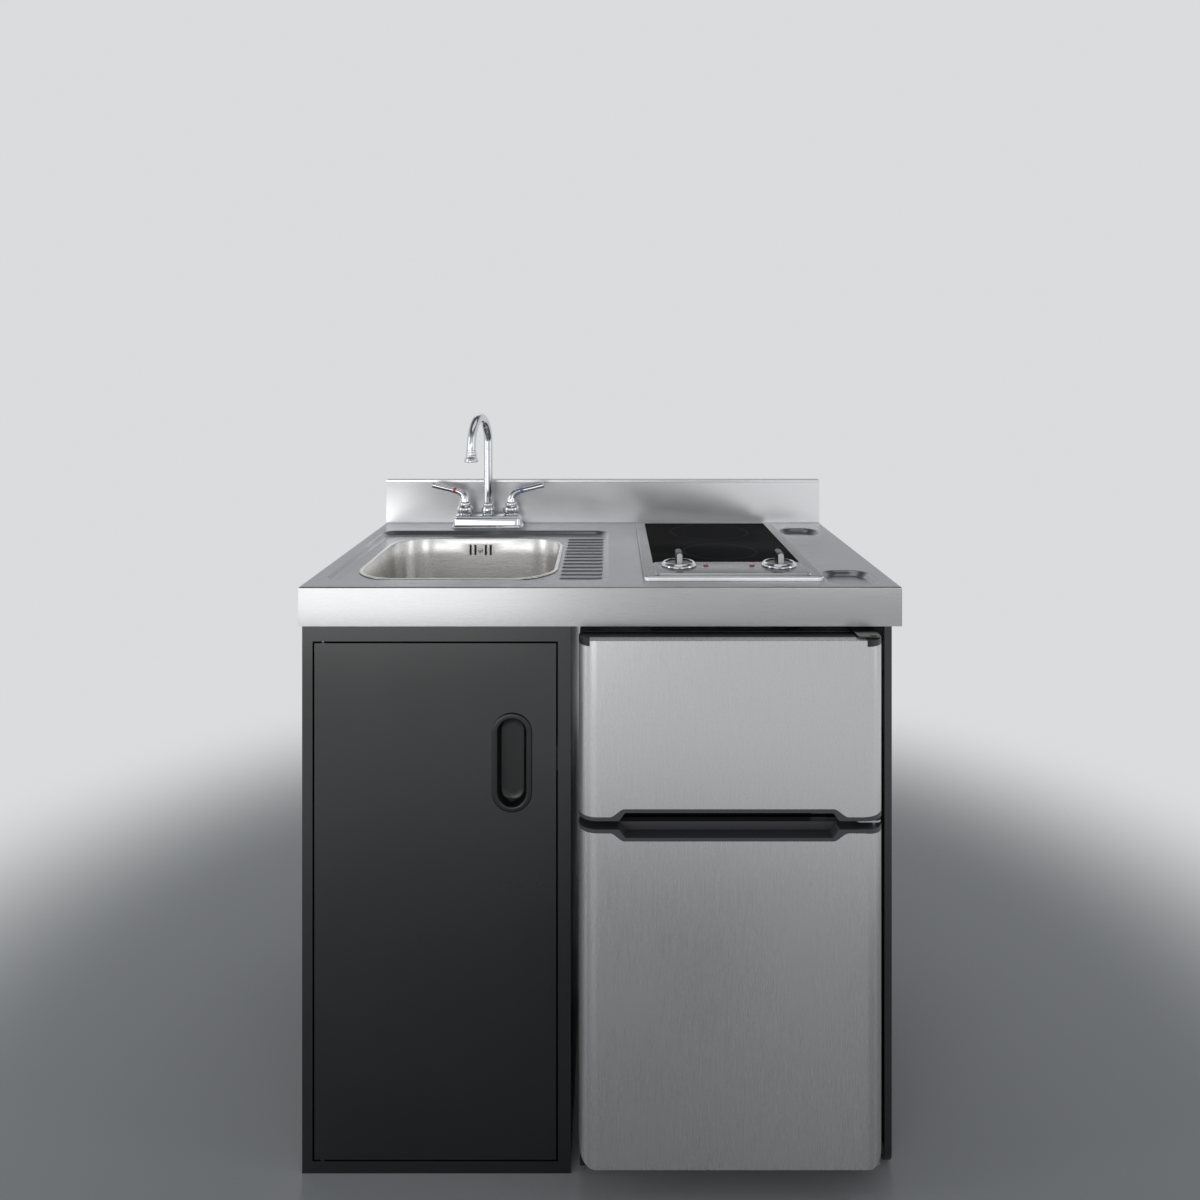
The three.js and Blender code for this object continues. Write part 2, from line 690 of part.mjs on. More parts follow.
// The basket drain: a flange in the bowl, a cup under it and a threaded outlet.
function drainBody() {
  const cup = drainHole - 1;
  const lip = bowlBottom + seat;
  const foot = cupBottom - outletLength;
  const shell = revolve([
    [drainFlange, lip], [drainFlange, lip + 1.2], [cup - 1, lip + 2.4], [cup - drainWall, lip],
    [cup - drainWall, cupBottom + 8], [cup - 10, cupBottom], [outletBore, cupBottom],
    [outletBore, foot], [outletRadius, foot], [outletRadius, cupBottom - drainWall],
    [cup - 9, cupBottom - drainWall], [cup, cupBottom + 8], [cup, lip],
  ]);
  const boss = barY(bowlX, inletZ, overflowPipeRadius + 2, bowlY + cup - 4, bowlY + drainHole + 14);
  const bore = barY(bowlX, inletZ, overflowPipeRadius - 1, bowlY + cup - 8, bowlY + drainHole + 15);
  return piece("drain_body", cut(join(shell.translate([bowlX, bowlY, 0]), boss), bore), "zinc");
}

function drainNut() {
  const top = bowlBottom - bowlSheet - seat;
  const inner = drainHole - 1 + seat;
  const outer = drainHole + 9;
  const ring = revolve([
    [inner, top - 7], [outer - 2, top - 7], [outer - 2, top - 2], [outer, top - 2], [outer, top],
    [inner, top],
  ]);
  return piece("drain_nut", ring.translate([bowlX, bowlY, 0]), "greyPlastic");
}

// The lift-out strainer: a perforated cup with a stopper and a pull post.
function strainerBasket() {
  const outer = drainHole - 1 - drainWall - seat;
  const low = bowlBottom - basketHeight;
  const shell = revolve([
    [0, low], [outer - 12, low], [outer - 7, low + 3], [outer - 1, bowlBottom - 3],
    [outer, bowlBottom - 1], [outer, bowlBottom], [outer - 3, bowlBottom], [outer - 3, bowlBottom - 3],
    [outer - 9, low + 4], [outer - 13, low + 1.5], [5, low + 1.5], [3, low + 4],
    [3, bowlBottom - 8], [7, bowlBottom - 5], [7, bowlBottom - 1], [0, bowlBottom],
  ]);
  const holes = Array.from({ length: 8 }, (_, i) => {
    const angle = (i / 8) * Math.PI * 2;
    return post((outer - 20) * Math.cos(angle), (outer - 20) * Math.sin(angle), 3, low - 1, low + 2, 6);
  });
  return piece("strainer_basket", cut(shell, ...holes).translate([bowlX, bowlY, 0]), "chrome");
}

// The trap hangs from the drain's outlet and leaves through the back of the cabinet.
const trapTop = cupBottom - outletLength - seat;
const trapArmZ = trapTop - trapDrop + trapBend;
function wasteTrap() {
  const low = trapTop - trapDrop - trapBend;
  const rise = bowlY + 2 * trapBend;
  const route = quarterBends(
    [[bowlY, trapTop], [bowlY, low], [rise, low], [rise, trapArmZ], [backY, trapArmZ]],
    trapBend - 0.5,
  );
  const bent = tube(bowlX, route, outletRadius, outletBore);
  const nut = revolve([
    [outletBore, trapTop - 12], [outletRadius + 7, trapTop - 12], [outletRadius + 7, trapTop + 18],
    [outletRadius + seat, trapTop + 18], [outletRadius + seat, trapTop], [outletBore, trapTop],
  ]).translate([bowlX, bowlY, 0]);
  return piece("waste_trap", join(bent, nut), "greyPlastic");
}

/* ------------------------------------------------------------------- tap */
// Built round the spout's axis, with z = 0 on the deck.
function tapBase() {
  const foot = areaAround(0, 0, tapLength, tapDepth);
  const body = loft([
    levelRing(foot, 12, 0, seat, 3),
    levelRing(foot, 12, 0, tapFlange * 0.4, 3),
    levelRing(foot, 12, tapFlare, tapFlange, 3),
    levelRing(foot, 12, tapFlare, tapHeight - 3, 3),
    levelRing(foot, 12, tapFlare + 3, tapHeight, 3),
  ]);
  const shanks = [-1, 1].map((side) =>
    post((side * tapCentres) / 2, 0, shankRadius, -shankLength, 1),
  );
  const bores = [-1, 1].map((side) =>
    post((side * tapCentres) / 2, 0, shankRadius - 3, -shankLength - 1, -4, 16),
  );
  return piece("tap_base", cut(join(body, ...shanks), ...bores), "chrome");
}

// The deck under the tap is flat, so the nuts meet the sheet itself.
function shankNut(name, side) {
  const top = -topSheet - seat;
  const ring = revolve([
    [around(shankRadius), top - 11], [shankRadius + 5, top - 11], [shankRadius + 5, top - 3],
    [shankRadius + 11, top - 3], [shankRadius + 11, top], [around(shankRadius), top],
  ]);
  return piece(name, ring.translate([(side * tapCentres) / 2, 0, 0]), "greyPlastic");
}

function bonnet(name, side) {
  const z = tapHeight + seat;
  const r = bonnetRadius;
  const bell = revolve([
    [around(stemRadius), z], [r - 3, z], [r - 2, z + 2], [r - 2.5, z + 3], [r - 0.5, z + 8],
    [r, z + 14], [r - 2, z + 19], [r - 5, z + 22], [r - 4, z + 23.5], [r - 5.5, z + bonnetHeight],
    [around(stemRadius), z + bonnetHeight],
  ]);
  return piece(name, bell.translate([(side * tapCentres) / 2, 0, 0]), "chrome");
}

// A lever: hub and stem on the valve's axis, and an arm that swells again at its tip.
function lever(name, side) {
  const root = tapHeight + seat + bonnetHeight + seat;
  const hubRadius = bonnetRadius - 6;
  const hub = revolve([
    [0, root - 12], [stemRadius, root - 12], [stemRadius, root], [hubRadius, root],
    [hubRadius, root + 8], [hubRadius - 1.5, root + 15], [hubRadius - 5, root + 20], [0, root + 21.5],
  ]);
  const spine = new THREE.CatmullRomCurve3([
    at(0, 0, root + 9), at(side * 9, 0, root + 15), at(side * 19, 0, root + 22),
    at(side * 34, 0, root + leverRise * 0.74), at(side * leverReach * 0.75, 0, root + leverRise * 0.9),
    at(side * leverReach, 0, root + leverRise + 4),
  ]);
  const stations = 7;
  const girth = [9, 8.2, 6.4, 5.6, 5.5, 5.9, 6.3, 3.6];
  const rings = girth.map((radius, i) => {
    const t = i / stations;
    const centre = spine.getPoint(t);
    const tangent = spine.getTangent(t);
    const up = at(-tangent.z, 0, tangent.x);
    return Array.from({ length: 10 }, (_, k) => {
      const angle = (k / 10) * Math.PI * 2;
      return centre.clone()
        .addScaledVector(up, radius * 0.86 * Math.cos(angle))
        .add(at(0, radius * Math.sin(angle), 0));
    });
  });
  const body = join(hub, loft(rings)).translate([(side * tapCentres) / 2, 0, 0]);
  return piece(name, body, "chrome");
}

function spoutCollar() {
  const z = tapHeight + seat;
  const r = collarRadius;
  const inner = around(spoutRadius);
  return piece("spout_collar", revolve([
    [inner, z], [r - 2.5, z], [r - 1.5, z + 2], [r - 2, z + 3], [r, z + 10], [r - 0.5, z + 16],
    [r - 3, z + 21], [r - 2.5, z + 24], [inner + 1, z + 28], [inner, z + 28],
  ]), "chrome");
}

const neckRadius = spoutReach / 2;
const neckZ = spoutHeight - spoutRadius - neckRadius;
function spout() {
  const top = neckZ + neckRadius;
  const end = neckZ - spoutDrop;
  const route = quarterBends(
    [[0, tapHeight + 2 * seat], [0, top], [-spoutReach, top], [-spoutReach, end]], neckRadius - 0.01, 6,
  );
  return piece("spout", tube(0, route, spoutRadius, spoutBore, 14), "chrome");
}

function aerator() {
  const top = neckZ - spoutDrop - seat;
  const low = top - aeratorHeight;
  const r = aeratorRadius;
  return piece("aerator", revolve([
    [0, low + 2], [r - 2.5, low + 2], [r - 2.5, low], [r - 1, low], [r, low + 1], [r, low + 3],
    [r - 4, low + 13], [r - 4, low + 16], [r - 5, low + 18], [spoutRadius + 0.5, top],
    [0, top],
  ]).translate([0, -spoutReach, 0]), "chrome");
}

function tap() {
  const group = new THREE.Group();
  group.position.set(tapX, tapY, deckZ);
  group.add(tapBase(), spoutCollar());
  group.add(shankNut("hot_shank_nut", -1), shankNut("cold_shank_nut", 1));
  group.add(bonnet("hot_bonnet", -1), bonnet("cold_bonnet", 1));
  group.add(lever("hot_lever", -1), lever("cold_lever", 1));
  const swivel = new THREE.Group();
  swivel.rotation.z = THREE.MathUtils.degToRad(spoutRest);
  swivel.add(spout(), aerator());
  group.add(swivel);
  return group;
}

/* ------------------------------------------------------------------- hob */
// Built round the frame's middle, with z = 0 on the deck.
const glassY1 = hobDepth / 2 - glassRearBorder;
const glassY0 = glassY1 - glassLength;
const glassTop = hobHeight - 0.2;
const knobY = -hobDepth / 2 + knobFromFront;
const plateTop = hobHeight + controlRise;
const plateUnder = plateTop - hobSheet;

function hobFrame() {
  const w = hobWidth / 2;
  const d = hobDepth / 2;
  const outer = pad(roundedOutline(-w, w, -d, d, 8), seat, hobHeight + 0.01, hobBevel);
  const raised = pad(
    roundedOutline(
      -controlWidth / 2, controlWidth / 2, -d + controlFromFront, -d + controlFromFront + controlLength, 10,
    ),
    hobHeight - 2.2, plateTop, 1, 1,
  );
  const pocket = block(
    -glassWidth / 2 - seat, glassWidth / 2 + seat, glassY0 - seat, glassY1 + seat,
    glassTop - glassThickness - seat, hobHeight + 5,
  );
  const window = block(
    -glassWidth / 2 + glassLedge, glassWidth / 2 - glassLedge, glassY0 + glassLedge,
    glassY1 - glassLedge, -1, hobHeight,
  );
  const ledgeUnder = glassTop - glassThickness - seat - hobSheet;
  const casingRoom = block(
    -w + casingInset - 2 * seat, w - casingInset + 2 * seat, -d + casingInset - 2 * seat,
    d - casingInset + 2 * seat, -1, ledgeUnder,
  );
  const under = block(-w + 5, w - 5, -d + 5, glassY0 - 4, -1, hobHeight - hobSheet);
  const underRaised = block(
    -controlWidth / 2 + 2, controlWidth / 2 - 2, -d + controlFromFront + 2,
    -d + controlFromFront + controlLength - 2, 0, plateUnder,
  );
  const holes = [-1, 1].flatMap((side) => [
    post((side * knobSpacing) / 2, knobY, spindleRadius + 1.5, 0, plateTop + 1, 12),
    post((side * lampSpacing) / 2, knobY, lampRadius + seat, 0, plateTop + 1, 12),
  ]);
  const body = cut(join(outer, raised), pocket, window, casingRoom, under, underRaised, ...holes);
  return piece("hob_frame", body, "brushedSteel");
}

function hobGlass() {
  const outline = roundedOutline(-glassWidth / 2, glassWidth / 2, glassY0, glassY1, 3);
  return piece("hob_glass", pad(outline, glassTop - glassThickness, glassTop, 0.6, 1, 2), "blackGlass");
}

const casingTop = glassTop - glassThickness - 2 * seat - hobSheet;
function hobCasingPan() {
  const w = hobWidth / 2 - casingInset;
  const d = hobDepth / 2 - casingInset;
  const t = casingSheet;
  const outer = block(-w, w, -d, d, -casingDepth, casingTop);
  const inner = block(-w + t, w - t, -d + t, d - t, -casingDepth + t, casingTop + 1);
  return piece("hob_casing", cut(outer, inner), "zinc");
}

// A radiant element: an insulating dish on a sprung foot that presses it against the glass.
function element(name, y) {
  const top = glassTop - glassThickness - seat;
  const low = top - elementHeight;
  const foot = -casingDepth + casingSheet + seat;
  const r = elementRadius;
  const dish = revolve([
    [0, foot], [22, foot], [22, low], [r - 6, low], [r, low + 6], [r, top], [r - 10, top],
    [r - 12, top - 12], [0, top - 12],
  ], 18);
  return piece(name, dish.translate([0, y, 0]), "ceramicFibre");
}

function bezel(name) {
  const z = plateTop + seat;
  const r = bezelRadius;
  const inner = knobRadius + 1.5;
  return piece(name, revolve([
    [inner, z], [r, z], [r, z + 1.6], [r - 1.6, z + 4.4], [r - 4, z + bezelHeight],
    [inner + 1, z + bezelHeight], [inner, z + bezelHeight - 1.6],
  ], 20), "chrome");
}

// Skirt, blade and spindle of a hob knob.
function hobKnob(name) {
  const z = plateTop + seat;
  const skirtTop = z + knobSkirt;
  const skirt = revolve([
    [0, z], [knobRadius, z], [knobRadius, skirtTop - 1.5], [knobRadius - 2, skirtTop], [0, skirtTop],
  ]);
  const grip = areaAround(0, 0, bladeWidth, 2 * knobRadius - 4);
  const gripTop = skirtTop + bladeHeight;
  const blade = loft([
    levelRing(grip, bladeWidth / 2, 0, skirtTop - 3, 3),
    levelRing(grip, bladeWidth / 2, 0.6, gripTop - 2, 3),
    levelRing(grip, bladeWidth / 2, 2.2, gripTop, 3),
  ]);
  const spindle = post(0, 0, spindleRadius, plateUnder - regulator.height, z + 1);
  return piece(name, join(skirt, blade, spindle), "blackPlastic");
}

function energyRegulator(name) {
  const { width, depth, height, neck } = regulator;
  const top = plateUnder - seat;
  const body = block(-width / 2, width / 2, -depth / 2, depth / 2, top - neck - height, top - neck);
  const bush = post(0, 0, 8, top - neck - 1, top, 16);
  const bore = post(0, 0, around(spindleRadius), plateUnder - regulator.height - 2, top + 1);
  return piece(name, cut(join(body, bush), bore), "greyPlastic");
}

function indicatorLamp(name) {
  const lens = revolve([
    [0, plateUnder - 14], [lampRadius, plateUnder - 14], [lampRadius, plateTop + seat],
    [lampRadius + 1, plateTop + seat], [lampRadius + 1, plateTop + lampProud - 0.5],
    [lampRadius - 1, plateTop + lampProud], [0, plateTop + lampProud + 0.4],
  ]);
  return piece(name, lens, "redLens");
}

function hob() {
  const group = new THREE.Group();
  group.position.set(hobX, hobY, deckZ);
  const middle = (glassY0 + glassY1) / 2;
  group.add(hobFrame(), hobGlass(), hobCasingPan());
  group.add(element("front_element", middle - elementSpacing / 2));
  group.add(element("rear_element", middle + elementSpacing / 2));
  for (const [word, side] of [["left", -1], ["right", 1]]) {
    const control = new THREE.Group();
    control.position.set((side * knobSpacing) / 2, knobY, 0);
    control.add(hobKnob(`${word}_knob`), bezel(`${word}_bezel`), energyRegulator(`${word}_regulator`));
    const lamp = indicatorLamp(`${word}_lamp`);
    lamp.position.set((side * lampSpacing) / 2, knobY, 0);
    group.add(control, lamp);
  }
  return group;
}

/* --------------------------------------------------------------- cabinet */
const door = {
  x0: doorway.x0 + doorGap,
  x1: doorway.x1 - doorGap,
  z0: doorway.z0 + doorGap,
  z1: doorway.z1 - doorGap,
  y0: cabinet.y0,
  y1: cabinet.y0 + doorThickness,
};
const pivotX = door.x0 + pivotFromSide;
const pivotY = door.y0 + pivotFromFace;

// A welded steel box: sides, floor, a folded front frame, and flanges that carry the worktop.
function cabinetShell() {
  const t = cabinetSheet;
  const { x0, x1, y0, y1, top } = cabinet;
  const outer = block(x0, x1, y0, y1, 0, top);
  const inside = block(x0 + t, x1 - t, y0 + t, y1 + 1, t, top - t);
  const returns = block(
    doorway.x0 - t, doorway.x1 + t, y0 + t - 1, y0 + tunnelDepth, doorway.z0 - t, doorway.z1 + t,
  );
  const opening = block(
    doorway.x0, doorway.x1, y0 - 1, y0 + tunnelDepth + 1, doorway.z0, doorway.z1,
  );
  const flange = 20;
  const sinkRoom = block(x0 + flange, x1 - flange, y0 + flange, y1 - flange, top - t - 1, top + 1);
  const pinHoles = [
    post(pivotX, pivotY, pivotRadius + seat, doorway.z1 - 1, doorway.z1 + t + 1, 16),
    post(pivotX, pivotY, pivotRadius + seat, doorway.z0 - t - 1, doorway.z0 + 1, 16),
  ];
  const body = cut(outer, cut(inside, returns), opening, sinkRoom, ...pinHoles);
  return piece("cabinet_shell", body, "blackPaint");
}

function cabinetBack() {
  const t = cabinetSheet;
  const gap = t + seat;
  const panel = block(
    cabinet.x0 + gap, cabinet.x1 - gap, cabinet.y1 - t, cabinet.y1, gap, cabinet.top - gap,
  );
  const wasteHole = barY(bowlX, trapArmZ, backHoleRadius, cabinet.y1 - 9, cabinet.y1 + 9, 24);
  const supplyHoles = [-1, 1].map((side) =>
    barY(bowlX + side * 90, trapArmZ, 16, cabinet.y1 - 9, cabinet.y1 + 9, 16),
  );
  return piece("cabinet_back", cut(panel, wasteHole, ...supplyHoles), "blackPaint");
}

const pull = {
  x0: door.x1 - pullFromRight - pullWidth,
  x1: door.x1 - pullFromRight,
  z0: door.z1 - pullFromTop - pullHeight,
  z1: door.z1 - pullFromTop,
};
const pullOutline = (inset) =>
  roundedOutline(pull.x0 + inset, pull.x1 - inset, pull.z0 + inset, pull.z1 - inset, pullWidth / 2 - inset);

// A door folded from sheet: face, four edges and a rear flange, with blocks for the pivots.
function cabinetDoor() {
  const t = cabinetSheet;
  const { x0, x1, y0, y1, z0, z1 } = door;
  const outer = block(x0, x1, y0, y1, z0, z1);
  const inside = block(x0 + t, x1 - t, y0 + t, y1 - t, z0 + t, z1 - t);
  const f = doorFlange + t;
  const mouth = block(x0 + f, x1 - f, y0 + t, y1 + 1, z0 + f, z1 - f);
  const { width, depth, height } = pivotBlock;
  const blocks = [z0, z1 - height].map((z) =>
    block(x0 + t / 2, x0 + t / 2 + width, y0 + t / 2, y0 + t / 2 + depth, z, z + height),
  );
  const bores = [
    post(pivotX, pivotY, around(pivotRadius), z0 - 1, z0 + pivotReach + 1),
    post(pivotX, pivotY, around(pivotRadius), z1 - pivotReach - 1, z1 + 1),
  ];
  const pullHole = pushBack(pullOutline(pullRim - pullWall - seat), y0 - 1, y1 + 1, 3);
  const body = cut(join(cut(outer, inside, mouth), ...blocks), pullHole, ...bores);
  return piece("cabinet_door", body, "blackPaint");
}

function cupPull() {
  const y = door.y0 - seat;
  const rim = pushBack(pullOutline(0), y - pullProud, y, 3);
  const rimEdge = pushBack(pullOutline(1.5), y - pullProud - 1, y - pullProud + 0.5, 3);
  const cup = pushBack(pullOutline(pullRim - pullWall), y - 0.5, y + pullDepth, 3);
  const hollow = pushBack(pullOutline(pullRim), y - pullProud - 2, y + pullDepth - pullWall, 3);
  return piece("cup_pull", cut(join(rim, rimEdge, cup), hollow), "blackPlastic");
}

function doorPivots() {
  const t = cabinetSheet;
  const overTop = doorway.z1 + t + seat;
  const upper = join(
    post(pivotX, pivotY, pivotHead, overTop, overTop + 3),
    post(pivotX, pivotY, pivotRadius, door.z1 - pivotReach, overTop + 1),
  );
  const underFloor = doorway.z0 - t - seat;
  const lower = join(
    post(pivotX, pivotY, pivotHead, underFloor - 3, underFloor),
    post(pivotX, pivotY, pivotRadius, underFloor - 1, door.z0 + pivotReach),
    post(pivotX, pivotY, pivotHead, doorway.z0 + seat, door.z0 - seat),
  );
  return [piece("upper_pivot", upper, "zinc"), piece("lower_pivot", lower, "zinc")];
}

// The catch sits on the frame's return, behind the door's rear flange.
function magneticCatch() {
  const { width, height, depth } = catchSize;
  const middle = (pull.z0 + pull.z1) / 2;
  const x1 = doorway.x1 - seat;
  const y0 = door.y1 + seat;
  const body = block(x1 - width, x1, y0, y0 + depth, middle - height / 2, middle + height / 2);
  const slot = block(x1 - width + 3, x1 - 3, y0 - 1, y0 + 2, middle - height / 2 + 6, middle + height / 2 - 6);
  return piece("magnetic_catch", cut(body, slot), "greyPlastic");
}

/* --------------------------------------------- support panel and rear rail */
const panel = {
  x0: rightX - rightOverhang - panelThickness,
  x1: rightX - rightOverhang,
  y0: frontY + panelSetback,
  y1: backY - rearClearance,
  top: deckZ - topSheet - seat,
};

// A folded channel that stands open towards the fridge, with a rounded toe.
function supportPanel() {
  const t = panelSheet;
  const { x0, x1, y0, y1, top } = panel;
  const outline = new THREE.Shape();
  outline.moveTo(y0 + panelToe, 0);
  outline.lineTo(y1, 0);
  outline.lineTo(y1, top);
  outline.lineTo(y0, top);
  outline.lineTo(y0, panelToe);
  outline.absarc(y0 + panelToe, panelToe, panelToe, Math.PI, Math.PI * 1.5);
  const toe = panelToe - t;
  const hollow = new THREE.Shape();
  hollow.moveTo(y0 + panelToe, t);
  hollow.lineTo(y1 - t, t);
  hollow.lineTo(y1 - t, top - t);
  hollow.lineTo(y0 + t, top - t);
  hollow.lineTo(y0 + t, panelToe);
  hollow.absarc(y0 + panelToe, panelToe, toe, Math.PI, Math.PI * 1.5);
  const body = cut(pushRight(outline, x0, x1), pushRight(hollow, x0 - 1, x1 - t));
  return piece("support_panel", body, "blackPaint");
}

// The rail carries the worktop's rear edge from the cabinet to the support panel.
function rearRail() {
  const t = panelSheet;
  const y1 = backY - rearClearance - 20;
  const y0 = y1 - railDepth;
  const top = deckZ - wellDepth - topSheet - seat;
  const outer = block(cabinet.x1 + seat, panel.x0 - seat, y0, y1, top - railHeight, top);
  const inner = block(cabinet.x1 - 1, panel.x0 + 1, y0 + t, y1 - t, top - railHeight - 1, top - t);
  return piece("rear_rail", cut(outer, inner), "blackPaint");
}

/* ---------------------------------------------------------------- fridge */
// Built with x = 0 in its middle and y = 0 on the front of its case.
const wrapY0 = -doorDepth - gasketDepth;
const wrapY1 = -gasketDepth;
const caseHalf = doorWidth / 2 - caseInset;
const upperDoor = { z0: gapMiddle + betweenDoors / 2, z1: fridgeTop };
const lowerDoor = { z0: doorBottom, z1: gapMiddle - betweenDoors / 2 };
const hingeX = doorWidth / 2 - hingeFromSide;
const hingeY = wrapY0 + hingeFromFace;
const mouthHalf = caseHalf - insulation;
const freezerRoom = { z0: gapMiddle + mullionHeight / 2, z1: fridgeTop - insulation };
const freshRoom = { z0: caseBottom + insulation, z1: gapMiddle - mullionHeight / 2 };

function fridgeCase() {
  const t = caseSheet;
  const outer = block(-caseHalf, caseHalf, 0, caseDepth, caseBottom, fridgeTop);
  const inner = block(-caseHalf + t, caseHalf - t, t, caseDepth - t, caseBottom + t, fridgeTop - t);
  const bayY = caseDepth - compressorBay.depth;
  const bayTop = caseBottom + compressorBay.height;
  const bay = block(-caseHalf + t, caseHalf - t, bayY, caseDepth + 1, caseBottom + t, bayTop);
  const bayWall = block(
    -caseHalf + t / 2, caseHalf - t / 2, bayY - t, caseDepth, caseBottom, bayTop + t,
  );
  const mouths = [freezerRoom, freshRoom].map(({ z0, z1 }) =>
    block(-mouthHalf, mouthHalf, -1, t + 1, z0, z1),
  );
  const feet = [-1, 1].flatMap((side) => [35, caseDepth - 35].map((y) =>
    post(side * (caseHalf - 35), y, footRadius, 0, caseBottom + 1, 14),
  ));
  const shell = cut(outer, cut(inner, bayWall), bay, ...mouths);
  return piece("fridge_case", join(shell, ...feet), "blackPaint");
}

// A vacuum-formed tub with moulded ledges for the shelves.
function freshLiner() {
  const w = linerWall;
  const { z0, z1 } = freshRoom;
  const back = caseDepth - insulation;
  const stepY = caseDepth - compressorBay.depth - insulation;
  const stepZ = caseBottom + compressorBay.height + insulation;
  const tub = (gap, front) => polygon([
    [front, z0 + gap], [stepY - gap, z0 + gap], [stepY - gap, stepZ + gap], [back - gap, stepZ + gap],
    [back - gap, z1 - gap], [front, z1 - gap],
  ]);
  const half = mouthHalf - seat;
  const outer = pushRight(tub(seat, 0), -half, half);
  const inner = pushRight(tub(seat + w, -1), -half + w, half - w);
  const ledges = shelfHeights.flatMap((height) => [-1, 1].map((side) => {
    const edge = side * (half - w / 2);
    const inside = side * (half - w - 8);
    const z = z0 + height;
    return block(Math.min(edge, inside), Math.max(edge, inside), 60, back - w, z - 5, z);
  }));
  const dialBore = barX(dialY, dialZ, around(stemRadius), half - w - 1, half + 1, 14);
  return piece("fresh_liner", cut(join(cut(outer, inner), ...ledges), dialBore), "whitePlastic");
}

function freezerLiner() {
  const w = linerWall;
  const { z0, z1 } = freezerRoom;
  const half = mouthHalf - seat;
  const back = caseDepth - insulation;
  const outer = block(-half, half, 0, back, z0 + seat, z1 - seat);
  const inner = block(-half + w, half - w, -1, back - w, z0 + seat + w, z1 - seat - w);
  return piece("freezer_liner", cut(outer, inner), "whitePlastic");
}

// Plan of a door: flat face, round front edges; inset shrinks it for the inside.
function doorPlan(inset, y1 = wrapY1) {
  const half = doorWidth / 2 - inset;
  const r = doorRadius - inset;
  const y0 = wrapY0 + inset;
  const plan = new THREE.Shape();
  plan.moveTo(-half, y1);
  plan.lineTo(-half, y0 + r);
  plan.absarc(-half + r, y0 + r, r, Math.PI, Math.PI * 1.5);
  plan.absarc(half - r, y0 + r, r, Math.PI * 1.5, Math.PI * 2);
  plan.lineTo(half, y1);
  plan.closePath();
  return plan;
}

const gripPocket = { x0: -doorWidth / 2 + gripFromLeft, x1: doorWidth / 2 - gripFromRight };

// The line where the grip meets the steel: narrow at the ends, wide round the pocket.
// up is 1 for the upper door and -1 for the lower one; edge is the door's edge at the gap.
function gripLine(edge, up, extra) {
  const half = doorWidth / 2 + 1;
  const narrow = edge + up * (gripNarrow + extra);
  const wide = edge + up * (gripWide + extra);
  const end = edge + up * (gripNarrow + gripEndRise + extra);
  const { x0, x1 } = gripPocket;
  const middle = (narrow + wide) / 2;
  const s = gripSlope / 2;
  return [
    [-half, narrow], [x0 - s, narrow], [x0 - s * 0.45, narrow + (middle - narrow) * 0.35],
    [x0, middle], [x0 + s * 0.45, wide - (wide - middle) * 0.35], [x0 + s, wide],
    [x1 - s, wide], [x1 - s * 0.45, wide - (wide - middle) * 0.35], [x1, middle],
    [x1 + s * 0.45, narrow + (middle - narrow) * 0.35], [x1 + s, narrow],
    [doorWidth / 2 - capRight, narrow], [half, end],
  ];
}

// The steel wrap of a door: face, sides and rear returns, with the edge cut for the grip.
function doorWrap(name, { z0, z1 }, up) {
  const t = doorSheet;
  const edge = up > 0 ? z0 : z1;
  const far = up > 0 ? z1 : z0;
  const half = doorWidth / 2 + 1;
  const line = gripLine(edge, up, seat);
  const r = lowerCornerRadius;
  const front = polygon([...line, [half, far], [-half, far]]);
  let outer = common(pushUp(doorPlan(0), z0, z1, 3), pushBack(front, wrapY0 - 1, 0));
  let inner = pushUp(doorPlan(t, wrapY1 - t), z0 - 1, up > 0 ? z1 + 1 : z1 + 1, 3);
  const mouth = block(
    -doorWidth / 2 + doorReturn, doorWidth / 2 - doorReturn, wrapY1 - t - 1, 1, z0 - 1, z1 + 1,
  );
  if (up < 0) {
    const face = roundedOutline(-doorWidth / 2, doorWidth / 2, z0, z1 + 2 * r, r);
    const hollow = roundedOutline(-doorWidth / 2 + t, doorWidth / 2 - t, z0 + t, z1 + 2 * r, r - t);
    outer = common(outer, pushBack(face, wrapY0 - 1, 0, 3));
    inner = common(inner, pushBack(hollow, wrapY0 - 1, 0, 3));
    const boss = post(hingeX, hingeY, hingePinRadius + 4, z0 + t / 2, z0 + hingePinReach + 6);
    const bore = post(hingeX, hingeY, around(hingePinRadius), z0 - 1, z0 + hingePinReach + 2);
    const lowMouth = block(
      -doorWidth / 2 + doorReturn, doorWidth / 2 - doorReturn, wrapY1 - t - 1, 1, z0 + doorReturn, z1 + 1,
    );
    return piece(name, cut(join(cut(outer, inner, lowMouth), boss), bore), "platinum");
  }
  const fold = block(
    -doorWidth / 2 + capLeft, doorWidth / 2 - capRight, wrapY0 + t / 2, wrapY0 + capFront, z1 - t, z1,
  );
  const capRoom = cut(
    pushUp(doorPlan(-1, 1), z1 - capHeight - seat, z1 + 1, 3),
    block(
      -doorWidth / 2 + capLeft, doorWidth / 2 - capRight, wrapY0 - 2, wrapY0 + capFront,
      z1 - capHeight - 2, z1 + 2,
    ),
  );
  return piece(name, cut(join(cut(outer, inner, mouth), fold), capRoom), "platinum");
}

